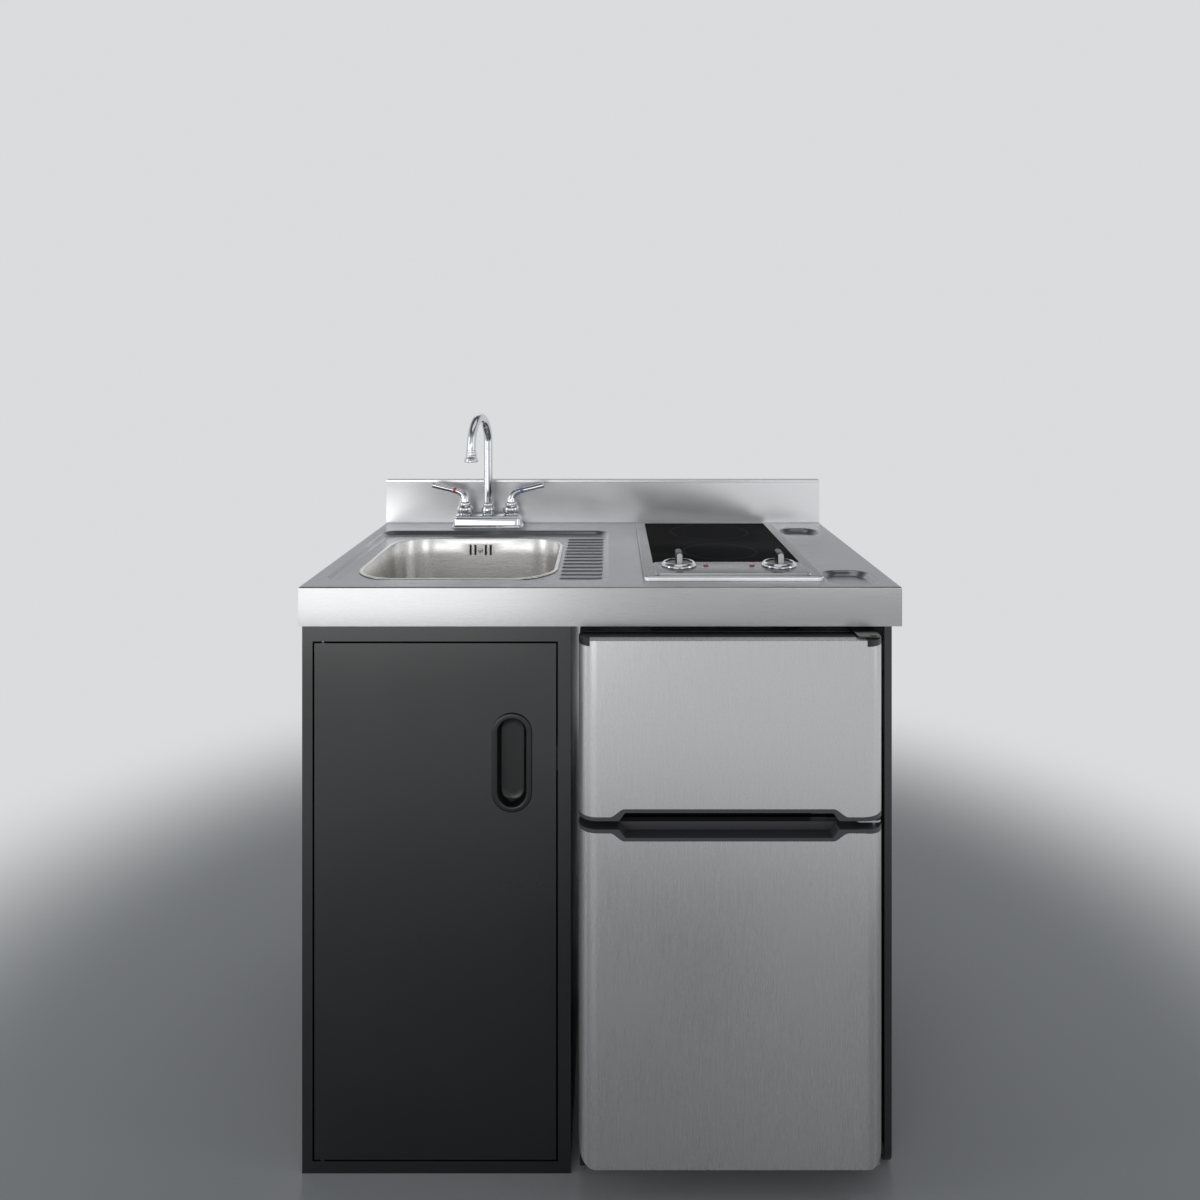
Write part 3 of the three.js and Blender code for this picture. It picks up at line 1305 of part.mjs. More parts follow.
// Black cap in the upper door's top edge; its corners reach the face, the middle stays behind.
function freezerTopCap() {
  const z1 = upperDoor.z1;
  const t = doorSheet;
  const room = block(
    -doorWidth / 2 + capLeft - seat, doorWidth / 2 - capRight + seat, wrapY0 - 2,
    wrapY0 + capFront + seat, z1 - capHeight - 2, z1 + 2,
  );
  const body = cut(pushUp(doorPlan(0), z1 - capHeight, z1, 3), room);
  const boss = post(hingeX, hingeY, hingePinRadius + 4, z1 - hingePinReach - 6, z1 - 1);
  const bore = post(hingeX, hingeY, around(hingePinRadius), z1 - hingePinReach - 2, z1 + 1);
  const hollow = pushUp(
    doorPlan(t + 1, wrapY1 - t - 1), z1 - capHeight - 1, z1 - 3, 5,
  );
  return piece("freezer_top_cap", cut(join(cut(body, hollow), boss), bore), "blackPlastic");
}

// A moulded grip along the door's edge, with a finger pocket open to the gap between the doors.
function doorGrip(name, edge, up) {
  const half = doorWidth / 2 + 1;
  const front = polygon([...gripLine(edge, up, 0), [half, edge], [-half, edge]]);
  const low = Math.min(edge, edge + up * 40);
  const body = common(pushUp(doorPlan(0), low, low + 40, 3), pushBack(front, wrapY0 - 1, 0));
  const { x0, x1 } = gripPocket;
  const s = gripSlope / 2;
  const depth = gripWide - gripLip;
  const hollow = polygon([
    [x0 + s * 0.2, edge - up], [x0 + s * 0.2, edge + up * depth * 0.3],
    [x0 + s * 0.55, edge + up * depth * 0.75], [x0 + s * 1.2, edge + up * depth],
    [x1 - s * 1.2, edge + up * depth], [x1 - s * 0.55, edge + up * depth * 0.75],
    [x1 - s * 0.2, edge + up * depth * 0.3], [x1 - s * 0.2, edge - up],
  ]);
  const pocket = pushBack(hollow, wrapY0 - 1, wrapY0 + pocketDepth);
  const tip = edge + up * (hingePinReach + 6);
  const boss = post(
    hingeX, hingeY, hingePinRadius + 4, Math.min(edge + up, tip), Math.max(edge + up, tip),
  );
  const end = edge + up * (hingePinReach + 2);
  const bore = post(
    hingeX, hingeY, around(hingePinRadius), Math.min(edge - up, end), Math.max(edge - up, end),
  );
  return piece(name, cut(join(cut(body, pocket), boss), bore), "gripPlastic");
}

// The white inner door: a flange on the wrap's returns, two drafted side walls and shelves.
function doorLiner(name, { z0, z1 }, dykeDepth, racks) {
  const y = wrapY1 + seat;
  const plate = block(-doorWidth / 2 + 6, doorWidth / 2 - 6, y, y + 1.7, z0 + 6, z1 - 6);
  const half = doorWidth / 2 - dykeInset;
  const bottom = z0 + dykeInset;
  const top = z1 - dykeInset;
  const sides = [-1, 1].map((side) => pushUp(
    polygon([
      [side * half, y + 1], [side * (half - dykeDraft), y + dykeDepth],
      [side * (half - dykeDraft - dykeWall), y + dykeDepth], [side * (half - dykeWall), y + 1],
    ]),
    bottom, top,
  ));
  const shelves = racks.flatMap(({ height, reach, guard }) => {
    const z = z0 + height;
    const lean = (dykeDraft * reach) / dykeDepth;
    const floor = pushUp(
      polygon([
        [-half + 1, y + 1], [half - 1, y + 1], [half - lean - 1, y + reach], [-half + lean + 1, y + reach],
      ]),
      z, z + dykeWall,
    );
    const bar = block(
      -half + lean + 1, half - lean - 1, y + reach - dykeWall, y + reach, z, z + guard,
    );
    return [floor, bar];
  });
  return piece(name, join(plate, ...sides, ...shelves), "whitePlastic");
}

function gasket(name, { z0, z1 }) {
  const i = gasketInset;
  const o = gasketInset + gasketWidth;
  const half = doorWidth / 2;
  const y0 = wrapY1 + seat + 1.7 + seat;
  const outer = block(-half + i, half - i, y0, -seat, z0 + i, z1 - i);
  const inner = block(-half + o, half - o, y0 - 1, 1, z0 + o, z1 - o);
  return piece(name, cut(outer, inner), "greyRubber");
}

const hingePlan = (x0, x1, y0, y1) => roundedOutline(x0, x1, y0, y1, 8);

function fridgeHinges() {
  const reach = hingeFromFace - 8;
  const right = doorWidth / 2 - 3;
  const z = fridgeTop + seat;
  const topPlate = pushUp(hingePlan(hingeX - 26, right, wrapY0 + reach, 60), z, z + hingePlate);
  const topPin = post(hingeX, hingeY, hingePinRadius, z - seat - hingePinReach, z + 1);
  const topNut = post(hingeX, hingeY, 5.5, z + 1, z + hingePlate + 1, 6);
  const middleZ = gapMiddle - hingePlate / 2;
  const arm = pushUp(
    hingePlan(hingeX - 30, right, wrapY0 + reach, -2), middleZ, middleZ + hingePlate,
  );
  const tab = block(
    hingeX - hingeTab.reach, hingeX + hingeTab.lap, -seat - hingeTab.sheet, -seat,
    gapMiddle - hingeTab.height / 2, gapMiddle + hingeTab.height / 2,
  );
  const middlePin = post(
    hingeX, hingeY, hingePinRadius, lowerDoor.z1 - hingePinReach, upperDoor.z0 + hingePinReach, 20,
  );
  const lowZ = doorBottom - seat - hingePlate;
  const lowArm = pushUp(hingePlan(hingeX - 30, right, wrapY0 + reach, -2), lowZ, lowZ + hingePlate);
  const lowTab = block(
    hingeX - 30, hingeX + hingeTab.lap, -seat - hingeTab.sheet, -seat, caseBottom + 2, lowZ + hingePlate,
  );
  const lowPin = post(hingeX, hingeY, hingePinRadius, lowZ + 1, doorBottom + hingePinReach);
  return [
    piece("top_hinge", join(topPlate, topPin, topNut), "zinc"),
    piece("middle_hinge", join(arm, tab, middlePin), "zinc"),
    piece("bottom_hinge", join(lowArm, lowTab, lowPin), "zinc"),
  ];
}

// A welded wire shelf that rests on the liner's ledges.
function wireShelf(name, height, y0) {
  const half = mouthHalf - seat - linerWall - 1;
  const back = caseDepth - insulation - linerWall - 4;
  const z = freshRoom.z0 + height + seat + shelfRodRadius;
  const r = shelfRodRadius;
  const rails = [-1, 1].map((side) => {
    const x = side * (half - r);
    return block(x - r, x + r, y0, back, z - r, z + r);
  });
  const ends = [y0 + r, back - r].map((y) => barX(y, z, r, -half + r, half - r, 8));
  const wires = Array.from({ length: shelfWires }, (_, i) => {
    const x = -half + ((i + 1) * 2 * half) / (shelfWires + 1);
    const w = shelfWire;
    return block(x - w, x + w, y0 + r, back - r, z + r - 2 * w, z + r);
  });
  return piece(name, join(...rails, ...ends, ...wires), "chrome");
}

const dialZ = freshRoom.z1 - 60;
const dialY = 210;
function thermostatKnob() {
  const wall = mouthHalf - seat - linerWall;
  const disc = revolve([
    [0, 0], [dialRadius - 1.5, 0], [dialRadius, 2], [dialRadius, dialHeight - 5], [dialRadius, dialHeight],
    [0, dialHeight],
  ]).rotate([0, 90, 0]);
  const grip = block(-4, 1, -3, 3, -dialRadius + 3, dialRadius - 3);
  const stem = barX(0, 0, stemRadius, dialHeight - 1, dialHeight + seat + linerWall, 16);
  const body = join(disc, grip, stem).translate([wall - seat - dialHeight, dialY, dialZ]);
  return piece("thermostat_knob", body, "greyPlastic");
}

// A hermetic compressor on four rubber feet in its bay at the back.
function compressor() {
  const y = caseDepth - compressorBay.depth / 2;
  const z = caseBottom + caseSheet + seat;
  const r = compressorRadius;
  const dome = revolve([
    [0, 14], [r * 0.7, 14], [r * 0.9, 26], [r * 0.9, 62], [r * 0.97, 64], [r * 0.97, 72], [r * 0.9, 74],
    [r * 0.9, 110], [r * 0.7, 136], [0, compressorHeight],
  ]);
  const plate = block(-r - 22, r + 22, -r * 0.7, r * 0.7, 10, 16);
  const feet = [-1, 1].flatMap((i) => [-1, 1].map((j) => post(i * (r + 12), j * r * 0.5, 9, 0, 11, 12)));
  const body = join(dome, plate, ...feet).translate([60, y, z]);
  return piece("compressor", body, "blackPaint");
}

function fridge() {
  const group = new THREE.Group();
  group.position.set(fridgeX, caseFrontY, 0);
  group.add(fridgeCase(), freshLiner(), freezerLiner(), compressor(), thermostatKnob());
  group.add(doorWrap("freezer_door", upperDoor, 1), freezerTopCap());
  group.add(doorWrap("fridge_door", lowerDoor, -1));
  group.add(doorGrip("freezer_grip", upperDoor.z0, 1), doorGrip("fridge_grip", lowerDoor.z1, -1));
  group.add(doorLiner("freezer_door_liner", upperDoor, dykeDepthUpper, freezerRacks));
  group.add(doorLiner("fridge_door_liner", lowerDoor, dykeDepthLower, fridgeRacks));
  group.add(gasket("freezer_gasket", upperDoor), gasket("fridge_gasket", lowerDoor));
  group.add(...fridgeHinges());
  group.add(wireShelf("lower_shelf", shelfHeights[0], dykeDepthLower + 15));
  group.add(wireShelf("upper_shelf", shelfHeights[1], dykeDepthLower + 15));
  return group;
}

/* --------------------------------------------------------------- assembly */
const kitchenette = new THREE.Group();
kitchenette.add(worktop(), backsplash(), sinkBowl());
kitchenette.add(sinkOverflow(), overflowPipe(), drainBody(), drainNut(), strainerBasket(), wasteTrap());
kitchenette.add(tap(), hob());
kitchenette.add(cabinetShell(), cabinetBack(), cabinetDoor(), cupPull(), ...doorPivots(), magneticCatch());
kitchenette.add(supportPanel(), rearRail(), fridge());

export default kitchenette;
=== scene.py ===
# A freestanding kitchenette: a stainless worktop with sink, tap and hob over a black steel
# cupboard and a two-door fridge. Everything is in metres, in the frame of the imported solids.
import math

import bmesh
import bpy
import numpy as np
from mathutils import Matrix, Vector


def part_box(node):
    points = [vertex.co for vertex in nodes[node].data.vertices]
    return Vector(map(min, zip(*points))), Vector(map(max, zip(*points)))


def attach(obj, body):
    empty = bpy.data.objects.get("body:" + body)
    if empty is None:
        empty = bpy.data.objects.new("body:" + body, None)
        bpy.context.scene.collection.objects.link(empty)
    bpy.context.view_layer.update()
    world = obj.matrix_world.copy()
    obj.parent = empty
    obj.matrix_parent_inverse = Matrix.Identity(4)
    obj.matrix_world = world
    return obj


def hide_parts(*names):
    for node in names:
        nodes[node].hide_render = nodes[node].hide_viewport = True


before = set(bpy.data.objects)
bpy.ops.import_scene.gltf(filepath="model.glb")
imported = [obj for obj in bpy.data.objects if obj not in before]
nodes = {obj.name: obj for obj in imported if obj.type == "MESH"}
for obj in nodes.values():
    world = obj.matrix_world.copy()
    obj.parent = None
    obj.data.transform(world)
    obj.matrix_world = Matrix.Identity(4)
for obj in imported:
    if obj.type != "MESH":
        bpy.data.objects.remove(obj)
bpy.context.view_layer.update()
MM = 0.001


# ---------------------------------------------------------------- camera
# A level camera stands 1.5 m in front of the worktop at eye height. Its lens is shifted down
# instead of tilted, so that the unit's uprights stay upright.
counter_front, stand_off, eye_height = -0.28, 1.495, 1.326
eye = Vector((0.0153, counter_front - stand_off, eye_height))
camera_data = bpy.data.cameras.new("camera")
camera_data.lens = 27.7
camera_data.shift_x = -0.008
camera_data.shift_y = -0.2
camera = bpy.data.objects.new("camera", camera_data)
camera.location = eye
camera.rotation_euler = (math.pi / 2, 0, 0)
bpy.context.scene.collection.objects.link(camera)
bpy.context.scene.camera = camera
bpy.context.scene.view_settings.view_transform = "Standard"


# --------------------------------------------------------- floor and studio
# A smooth grey studio floor that fades into the pale background. Six softboxes light it: one
# overhead, two behind the camera, a tall strip on each side and one at the back.
def node_tree(name):
    """A new material with its nodes, its links and its shader."""
    material = bpy.data.materials.new(name)
    material.use_nodes = True
    tree = material.node_tree
    return material, tree.nodes, tree.links, tree.nodes["Principled BSDF"]


backdrop_colour = (0.70, 0.715, 0.73, 1)
floor_colour = (0.34, 0.355, 0.37, 1)
floor_reach = 6.0
floor_mesh = bpy.data.meshes.new("floor")
floor_mesh.from_pydata(
    [(-floor_reach, -floor_reach, 0), (floor_reach, -floor_reach, 0),
     (floor_reach, floor_reach, 0), (-floor_reach, floor_reach, 0)],
    [], [(0, 1, 2, 3)],
)
floor = bpy.data.objects.new("floor", floor_mesh)
bpy.context.scene.collection.objects.link(floor)
floor_material, n, link, shader = node_tree("studio_floor")
shader.inputs["Base Color"].default_value = floor_colour
shader.inputs["Roughness"].default_value = 0.22
place = n.new("ShaderNodeTexCoord")
distance = n.new("ShaderNodeVectorMath")
distance.operation = "LENGTH"
link.new(place.outputs["Object"], distance.inputs[0])
fade = n.new("ShaderNodeMapRange")
fade.interpolation_type = "SMOOTHERSTEP"
near_floor, far_floor = 1.0, 2.2
fade.inputs["From Min"].default_value = near_floor
fade.inputs["From Max"].default_value = far_floor
link.new(distance.outputs["Value"], fade.inputs["Value"])
beyond = n.new("ShaderNodeEmission")
beyond.inputs["Color"].default_value = backdrop_colour
blend = n.new("ShaderNodeMixShader")
link.new(fade.outputs["Result"], blend.inputs["Fac"])
link.new(shader.outputs["BSDF"], blend.inputs[1])
link.new(beyond.outputs["Emission"], blend.inputs[2])
link.new(blend.outputs["Shader"], n["Material Output"].inputs["Surface"])
floor_mesh.materials.append(floor_material)

world = bpy.data.worlds.new("studio")
bpy.context.scene.world = world
world.use_nodes = True
w = world.node_tree
seen = w.nodes["Background"]
# The studio's ceiling is darker than its walls, so plated parts show a dark upper side.
bearing = w.nodes.new("ShaderNodeTexCoord")
height = w.nodes.new("ShaderNodeSeparateXYZ")
w.links.new(bearing.outputs["Generated"], height.inputs[0])
upward = w.nodes.new("ShaderNodeMapRange")
upward.interpolation_type = "SMOOTHSTEP"
upward.inputs["From Min"].default_value = 0.35
upward.inputs["From Max"].default_value = 0.8
w.links.new(height.outputs["Z"], upward.inputs["Value"])
dome = w.nodes.new("ShaderNodeMix")
dome.data_type = "RGBA"
dome.inputs["A"].default_value = backdrop_colour
dome.inputs["B"].default_value = (0.10, 0.105, 0.115, 1)
w.links.new(upward.outputs["Result"], dome.inputs["Factor"])
w.links.new(dome.outputs["Result"], seen.inputs["Color"])
lit = w.nodes.new("ShaderNodeBackground")
lit.inputs["Color"].default_value = (0.95, 0.97, 1.0, 1)
lit.inputs["Strength"].default_value = 0.25
rays = w.nodes.new("ShaderNodeLightPath")
shown = rays.outputs["Is Camera Ray"]
for kind in ("Is Glossy Ray", "Is Transmission Ray"):
    either = w.nodes.new("ShaderNodeMath")
    either.operation = "MAXIMUM"
    w.links.new(shown, either.inputs[0])
    w.links.new(rays.outputs[kind], either.inputs[1])
    shown = either.outputs[0]
sky = w.nodes.new("ShaderNodeMixShader")
w.links.new(shown, sky.inputs["Fac"])
w.links.new(lit.outputs["Background"], sky.inputs[1])
w.links.new(seen.outputs["Background"], sky.inputs[2])
w.links.new(sky.outputs["Shader"], w.nodes["World Output"].inputs["Surface"])


def softbox(name, position, width, height, watts):
    """An area lamp that faces the middle of the unit."""
    lamp = bpy.data.lights.new(name, "AREA")
    lamp.shape = "RECTANGLE"
    lamp.size, lamp.size_y, lamp.energy = width, height, watts
    holder = bpy.data.objects.new(name, lamp)
    holder.location = position
    aim = Vector((0, 0, 0.75)) - Vector(position)
    holder.rotation_euler = aim.to_track_quat("-Z", "Y").to_euler()
    bpy.context.scene.collection.objects.link(holder)


softbox("overhead_box", (0.3, -0.2, 3.2), 2.2, 1.4, 6.5)
softbox("front_box", (-1.2, -3.1, 0.9), 1.9, 1.6, 18)
softbox("front_fill", (1.15, -3.2, 1.6), 1.0, 0.9, 5.5)
softbox("left_strip", (-2.6, -1.0, 1.3), 0.5, 2.2, 9)
softbox("right_strip", (2.7, -1.0, 1.3), 0.5, 2.2, 5)
softbox("rear_box", (-0.6, 2.8, 3.0), 1.8, 1.4, 4)


# --------------------------------------------------------------- worktop
# One stainless sheet, pressed with a shallow basin round the sink, raised drainer ribs and
# two small wells right of the hob, and folded down all round as a deep fascia.
def brushed_steel(name, colour, roughness, grain, along=(1, 0, 0), scratch=0.02):
    """Stainless steel with fine grain lines along one axis and a slight cloudiness."""
    material, n, link, shader = node_tree(name)
    place = n.new("ShaderNodeTexCoord")
    stretch = n.new("ShaderNodeMapping")
    stretch.inputs["Scale"].default_value = tuple(grain * (0.012 if a else 1) for a in along)
    link.new(place.outputs["Object"], stretch.inputs["Vector"])
    lines = n.new("ShaderNodeTexNoise")
    lines.inputs["Scale"].default_value = 1
    lines.inputs["Detail"].default_value = 4
    link.new(stretch.outputs["Vector"], lines.inputs["Vector"])
    clouds = n.new("ShaderNodeTexNoise")
    clouds.inputs["Scale"].default_value = 5
    clouds.inputs["Detail"].default_value = 3
    link.new(place.outputs["Object"], clouds.inputs["Vector"])
    shade = n.new("ShaderNodeMix")
    shade.data_type = "RGBA"
    shade.inputs["A"].default_value = tuple(0.93 * c for c in colour) + (1,)
    shade.inputs["B"].default_value = tuple(min(1, 1.06 * c) for c in colour) + (1,)
    link.new(lines.outputs["Fac"], shade.inputs["Factor"])
    link.new(shade.outputs["Result"], shader.inputs["Base Color"])
    sum_up = n.new("ShaderNodeMath")
    sum_up.operation = "MULTIPLY_ADD"
    sum_up.inputs[1].default_value = 0.6
    link.new(clouds.outputs["Fac"], sum_up.inputs[0])
    link.new(lines.outputs["Fac"], sum_up.inputs[2])
    spread = n.new("ShaderNodeMapRange")
    spread.inputs["From Min"].default_value = 0.4
    spread.inputs["From Max"].default_value = 1.2
    spread.inputs["To Min"].default_value = roughness - 0.05
    spread.inputs["To Max"].default_value = roughness + 0.07
    link.new(sum_up.outputs[0], spread.inputs["Value"])
    link.new(spread.outputs["Result"], shader.inputs["Roughness"])
    relief = n.new("ShaderNodeBump")
    relief.inputs["Strength"].default_value = scratch
    relief.inputs["Distance"].default_value = 0.001
    link.new(lines.outputs["Fac"], relief.inputs["Height"])
    link.new(relief.outputs["Normal"], shader.inputs["Normal"])
    shader.inputs["Metallic"].default_value = 1
    return material


steel = brushed_steel("worktop_steel", (0.41, 0.412, 0.415), 0.28, 1400)
# A darker copy of the same steel for upper faces: painted shade.
shaded_steel = brushed_steel("shaded_steel", (0.32, 0.325, 0.34), 0.28, 1400)


def new_object(name, mesh, material, body, node_names):
    """Links a finished mesh as a piece that rides on its body and stands for its nodes."""
    piece = bpy.data.objects.new(name, mesh)
    bpy.context.scene.collection.objects.link(piece)
    mesh.materials.clear()
    mesh.materials.append(material)
    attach(piece, body)
    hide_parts(*node_names)
    return piece


def mesh_of(name, points, faces, sharp=40):
    """A mesh from points and faces, facing outwards, smooth but for its sharp edges."""
    mesh = bpy.data.meshes.new(name)
    mesh.from_pydata([tuple(p) for p in points], [], faces)
    tidy_up(mesh, sharp)
    return mesh


def tidy_up(mesh, sharp=40):
    """Merges doubles, turns faces outwards and marks the sharp edges."""
    work = bmesh.new()
    work.from_mesh(mesh)
    bmesh.ops.remove_doubles(work, verts=work.verts, dist=1e-6)
    bmesh.ops.recalc_face_normals(work, faces=work.faces)
    work.to_mesh(mesh)
    work.free()
    mesh.shade_smooth()
    mesh.set_sharp_from_angle(angle=math.radians(sharp))


def from_rounded_box(x, y, middle, half, radius):
    """Signed distance in the plane from a rectangle with round corners; below 0 inside."""
    dx = np.abs(x - middle[0]) - (half[0] - radius)
    dy = np.abs(y - middle[1]) - (half[1] - radius)
    outside = np.hypot(np.maximum(dx, 0), np.maximum(dy, 0))
    return outside + np.minimum(np.maximum(dx, dy), 0) - radius


def smooth_step(value):
    """An S-shaped rise from 0 to 1."""
    value = np.clip(value, 0, 1)
    return value * value * (3 - 2 * value)


def plan_of(low, high):
    """Middle and half size of a box, seen from above."""
    return ((low.x + high.x) / 2, (low.y + high.y) / 2), ((high.x - low.x) / 2, (high.y - low.y) / 2)


top_lo, top_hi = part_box("worktop")
deck = top_hi.z
fascia_low = top_lo.z
bowl_lo, bowl_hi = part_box("sink_bowl")
rim_out = 7 * MM
bowl_middle, rim_half = plan_of(bowl_lo, bowl_hi)
bowl_half = tuple(size - rim_out for size in rim_half)
bowl_corner = 80 * MM
hob_lo, hob_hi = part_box("hob_casing")
pressing_lo = (top_lo.x + 19 * MM, top_lo.y + 48 * MM)
pressing_size = (484 * MM, 450 * MM)
pressing_middle = tuple(a + s / 2 for a, s in zip(pressing_lo, pressing_size))
pressing_depth, pressing_slope = 8 * MM, 15 * MM
well_left, well_right = top_hi.x - 110 * MM, top_hi.x - 26 * MM
wells = [  # middle and half size, front and rear
    (((well_left + well_right) / 2, top_lo.y + 68 * MM), (42 * MM, 53 * MM)),
    (((well_left + well_right) / 2, top_hi.y - 129 * MM), (42 * MM, 40 * MM)),
]
well_radius, well_depth, well_slope = 32 * MM, 8 * MM, 9 * MM
rib_count, rib_pitch, rib_height = 13, 28.4 * MM, 2.4 * MM
rib_half = (39 * MM, 5.5 * MM)
rib_x = bowl_middle[0] + bowl_half[0] + 50 * MM


def deck_height(x, y):
    """Height of the pressed sheet's upper face."""
    half = tuple(s / 2 for s in pressing_size)
    inside = -from_rounded_box(x, y, pressing_middle, half, 30 * MM)
    z = deck - pressing_depth * smooth_step(inside / pressing_slope)
    for i in range(rib_count):
        rib_y = bowl_middle[1] + (i - (rib_count - 1) / 2) * rib_pitch
        rib = -from_rounded_box(x, y, (rib_x, rib_y), rib_half, rib_half[1] * 0.999)
        z = z + rib_height * smooth_step(rib / (4.2 * MM))
    for middle, half in wells:
        inside = -from_rounded_box(x, y, middle, half, well_radius)
        z = z - well_depth * smooth_step(inside / well_slope)
    return z


def stops(low, high, coarse, dense):
    """Grid lines from low to high, closer inside the dense stretches."""
    lines, value = [low], low
    while value < high - 1e-9:
        step = coarse
        for start, end, fine in dense:
            if start - coarse < value < end:
                step = fine
        value = min(value + step, high)
        lines.append(value)
    return np.array(lines)


edge_radius = 2.2 * MM
grid_x = stops(
    top_lo.x + edge_radius, top_hi.x - edge_radius, 5 * MM,
    [(top_lo.x + 17 * MM, top_lo.x + 38 * MM, 2 * MM), (rib_x - 44 * MM, rib_x + 62 * MM, 1.8 * MM),
     (well_left, well_right, 2.5 * MM)],
)
grid_y = stops(
    top_lo.y + edge_radius, top_hi.y - edge_radius, 5 * MM,
    [(top_lo.y + 14 * MM, top_lo.y + 122 * MM, 2.5 * MM),
     (bowl_middle[1] - 0.18, bowl_middle[1] + 0.18, 1.9 * MM),
     (bowl_middle[1] + 0.18, bowl_middle[1] + 0.24, 2.5 * MM)],
)
gx, gy = np.meshgrid(grid_x, grid_y)
gz = deck_height(gx, gy)
columns = len(grid_x)
deck_points = np.stack([gx, gy, gz], -1).reshape(-1, 3).tolist()
deck_faces = []
for row in range(len(grid_y) - 1):
    for column in range(columns - 1):
        a = row * columns + column
        deck_faces.append((a, a + 1, a + 1 + columns, a + columns))
worktop_mesh = bpy.data.meshes.new("worktop_dressed")
worktop_mesh.from_pydata(deck_points, [], deck_faces)
work = bmesh.new()
work.from_mesh(worktop_mesh)
work.verts.ensure_lookup_table()
# The sheet rolls over its edge in a quarter round and hangs down as the fascia.
edge = [e for e in work.edges if e.is_boundary]
centre = Vector(((top_lo.x + top_hi.x) / 2, (top_lo.y + top_hi.y) / 2, 0))


def rolled(point, angle):
    """The edge point moved outwards and down along the quarter round."""
    p = point.copy()
    out = edge_radius * math.sin(angle)
    if abs(p.x - (top_lo.x + edge_radius)) < 1e-6:
        p.x -= out
    if abs(p.x - (top_hi.x - edge_radius)) < 1e-6:
        p.x += out
    if abs(p.y - (top_lo.y + edge_radius)) < 1e-6:
        p.y -= out
    if abs(p.y - (top_hi.y - edge_radius)) < 1e-6:
        p.y += out
    p.z = deck - edge_radius * (1 - math.cos(angle))
    return p


def hanging(point, inward, height):
    """The edge point moved to the fascia at a height, on its outer or its inner face."""
    p = rolled(point, math.pi / 2)
    if abs(p.x) > top_hi.x - 1e-6:
        p.x -= math.copysign(inward, p.x - centre.x)
    if min(abs(p.y - top_lo.y), abs(p.y - top_hi.y)) < 1e-6:
        p.y -= math.copysign(inward, p.y - centre.y)
    p.z = height
    return p


base = {v: v.co.copy() for e in edge for v in e.verts}
sheet = 2 * MM
turns = [(rolled, (angle,)) for angle in (math.pi / 8, math.pi / 4, 3 * math.pi / 8, math.pi / 2)]
drops = [(hanging, place) for place in ((0, fascia_low), (sheet, fascia_low), (sheet, deck - 10 * MM))]
last_of = {v: v for v in base}
for moved, amount in turns + drops:
    made = {v: work.verts.new(moved(base[v], *amount)) for v in base}
    for e in edge:
        a, b = e.verts
        work.faces.new((last_of[a], last_of[b], made[b], made[a]))
    last_of = made
bmesh.ops.recalc_face_normals(work, faces=work.faces)
# The openings for the bowl and the hob lie under the bowl's rim and the hob's frame.
opened = []
for face in work.faces:
    inside_bowl = inside_hob = False
    for v in face.verts:
        x, y = v.co.x, v.co.y
        if v.co.z < deck - 9 * MM:
            continue
        if from_rounded_box(x, y, bowl_middle, bowl_half, bowl_corner) < 1.5 * MM:
            inside_bowl = True
        if hob_lo.x - 3 * MM < x < hob_hi.x + 3 * MM and hob_lo.y - 3 * MM < y < hob_hi.y + 3 * MM:
            inside_hob = True
    if inside_bowl or inside_hob:
        opened.append(face)
bmesh.ops.delete(work, geom=opened, context="FACES")
work.to_mesh(worktop_mesh)
work.free()
worktop_mesh.shade_smooth()
worktop_mesh.set_sharp_from_angle(angle=math.radians(50))
worktop = new_object("worktop_dressed", worktop_mesh, steel, "unit", ["worktop"])


def finished_apart(piece, material, chosen):
    """Gives the chosen faces of a piece a second finish."""
    piece.data.materials.append(material)
    for face in piece.data.polygons:
        if chosen(face):
            face.material_index = 1


# The flat top's upper faces get a darker copy of the same steel than the fascia: painted shade.
finished_apart(worktop, shaded_steel, lambda face: face.normal.z > 0.5 and face.center.z > deck - 12 * MM)


# ------------------------------------------------------------- backsplash
# A stainless upstand folded from one sheet, closed at both ends, with a rolled hem on top.
def rounded(piece, rounding, segments=2, sharp=30):
    """Rounds the piece's sharp edges."""
    bevel = piece.modifiers.new("rounded edges", "BEVEL")
    bevel.width, bevel.segments = rounding, segments
    bevel.limit_method = "ANGLE"
    bevel.angle_limit = math.radians(sharp)
    bevel.harden_normals = True
    return piece


def dressed(node, body, material, rounding, segments=2, sharp=30):
    """A copy of the node's plain solid with merged faces and rounded edges, for that node."""
    copy = nodes[node].data.copy()
    work = bmesh.new()
    work.from_mesh(copy)
    bmesh.ops.remove_doubles(work, verts=work.verts, dist=2e-6)
    bmesh.ops.dissolve_limit(
        work, angle_limit=math.radians(0.5), verts=work.verts, edges=work.edges,
    )
    work.to_mesh(copy)
    work.free()
    copy.shade_smooth()
    copy.set_sharp_from_angle(angle=math.radians(sharp))
    piece = new_object(node + "_dressed", copy, material, body, [node])
    return rounded(piece, rounding, segments, sharp)


# A much lighter copy of the same steel: the backsplash's bright reflection, painted into its colour as a painted
# highlight.
lit_steel = brushed_steel("lit_steel", (0.80, 0.805, 0.81), 0.33, 1400)
splash = dressed("backsplash", "unit", lit_steel, 1.0 * MM)
# Its hem's upper faces and its back, which the wall hides, get the same darker copy of the steel as the flat top:
# painted shade.
finished_apart(splash, shaded_steel, lambda face: face.normal.z > 0.5 or face.normal.y > 0.5)


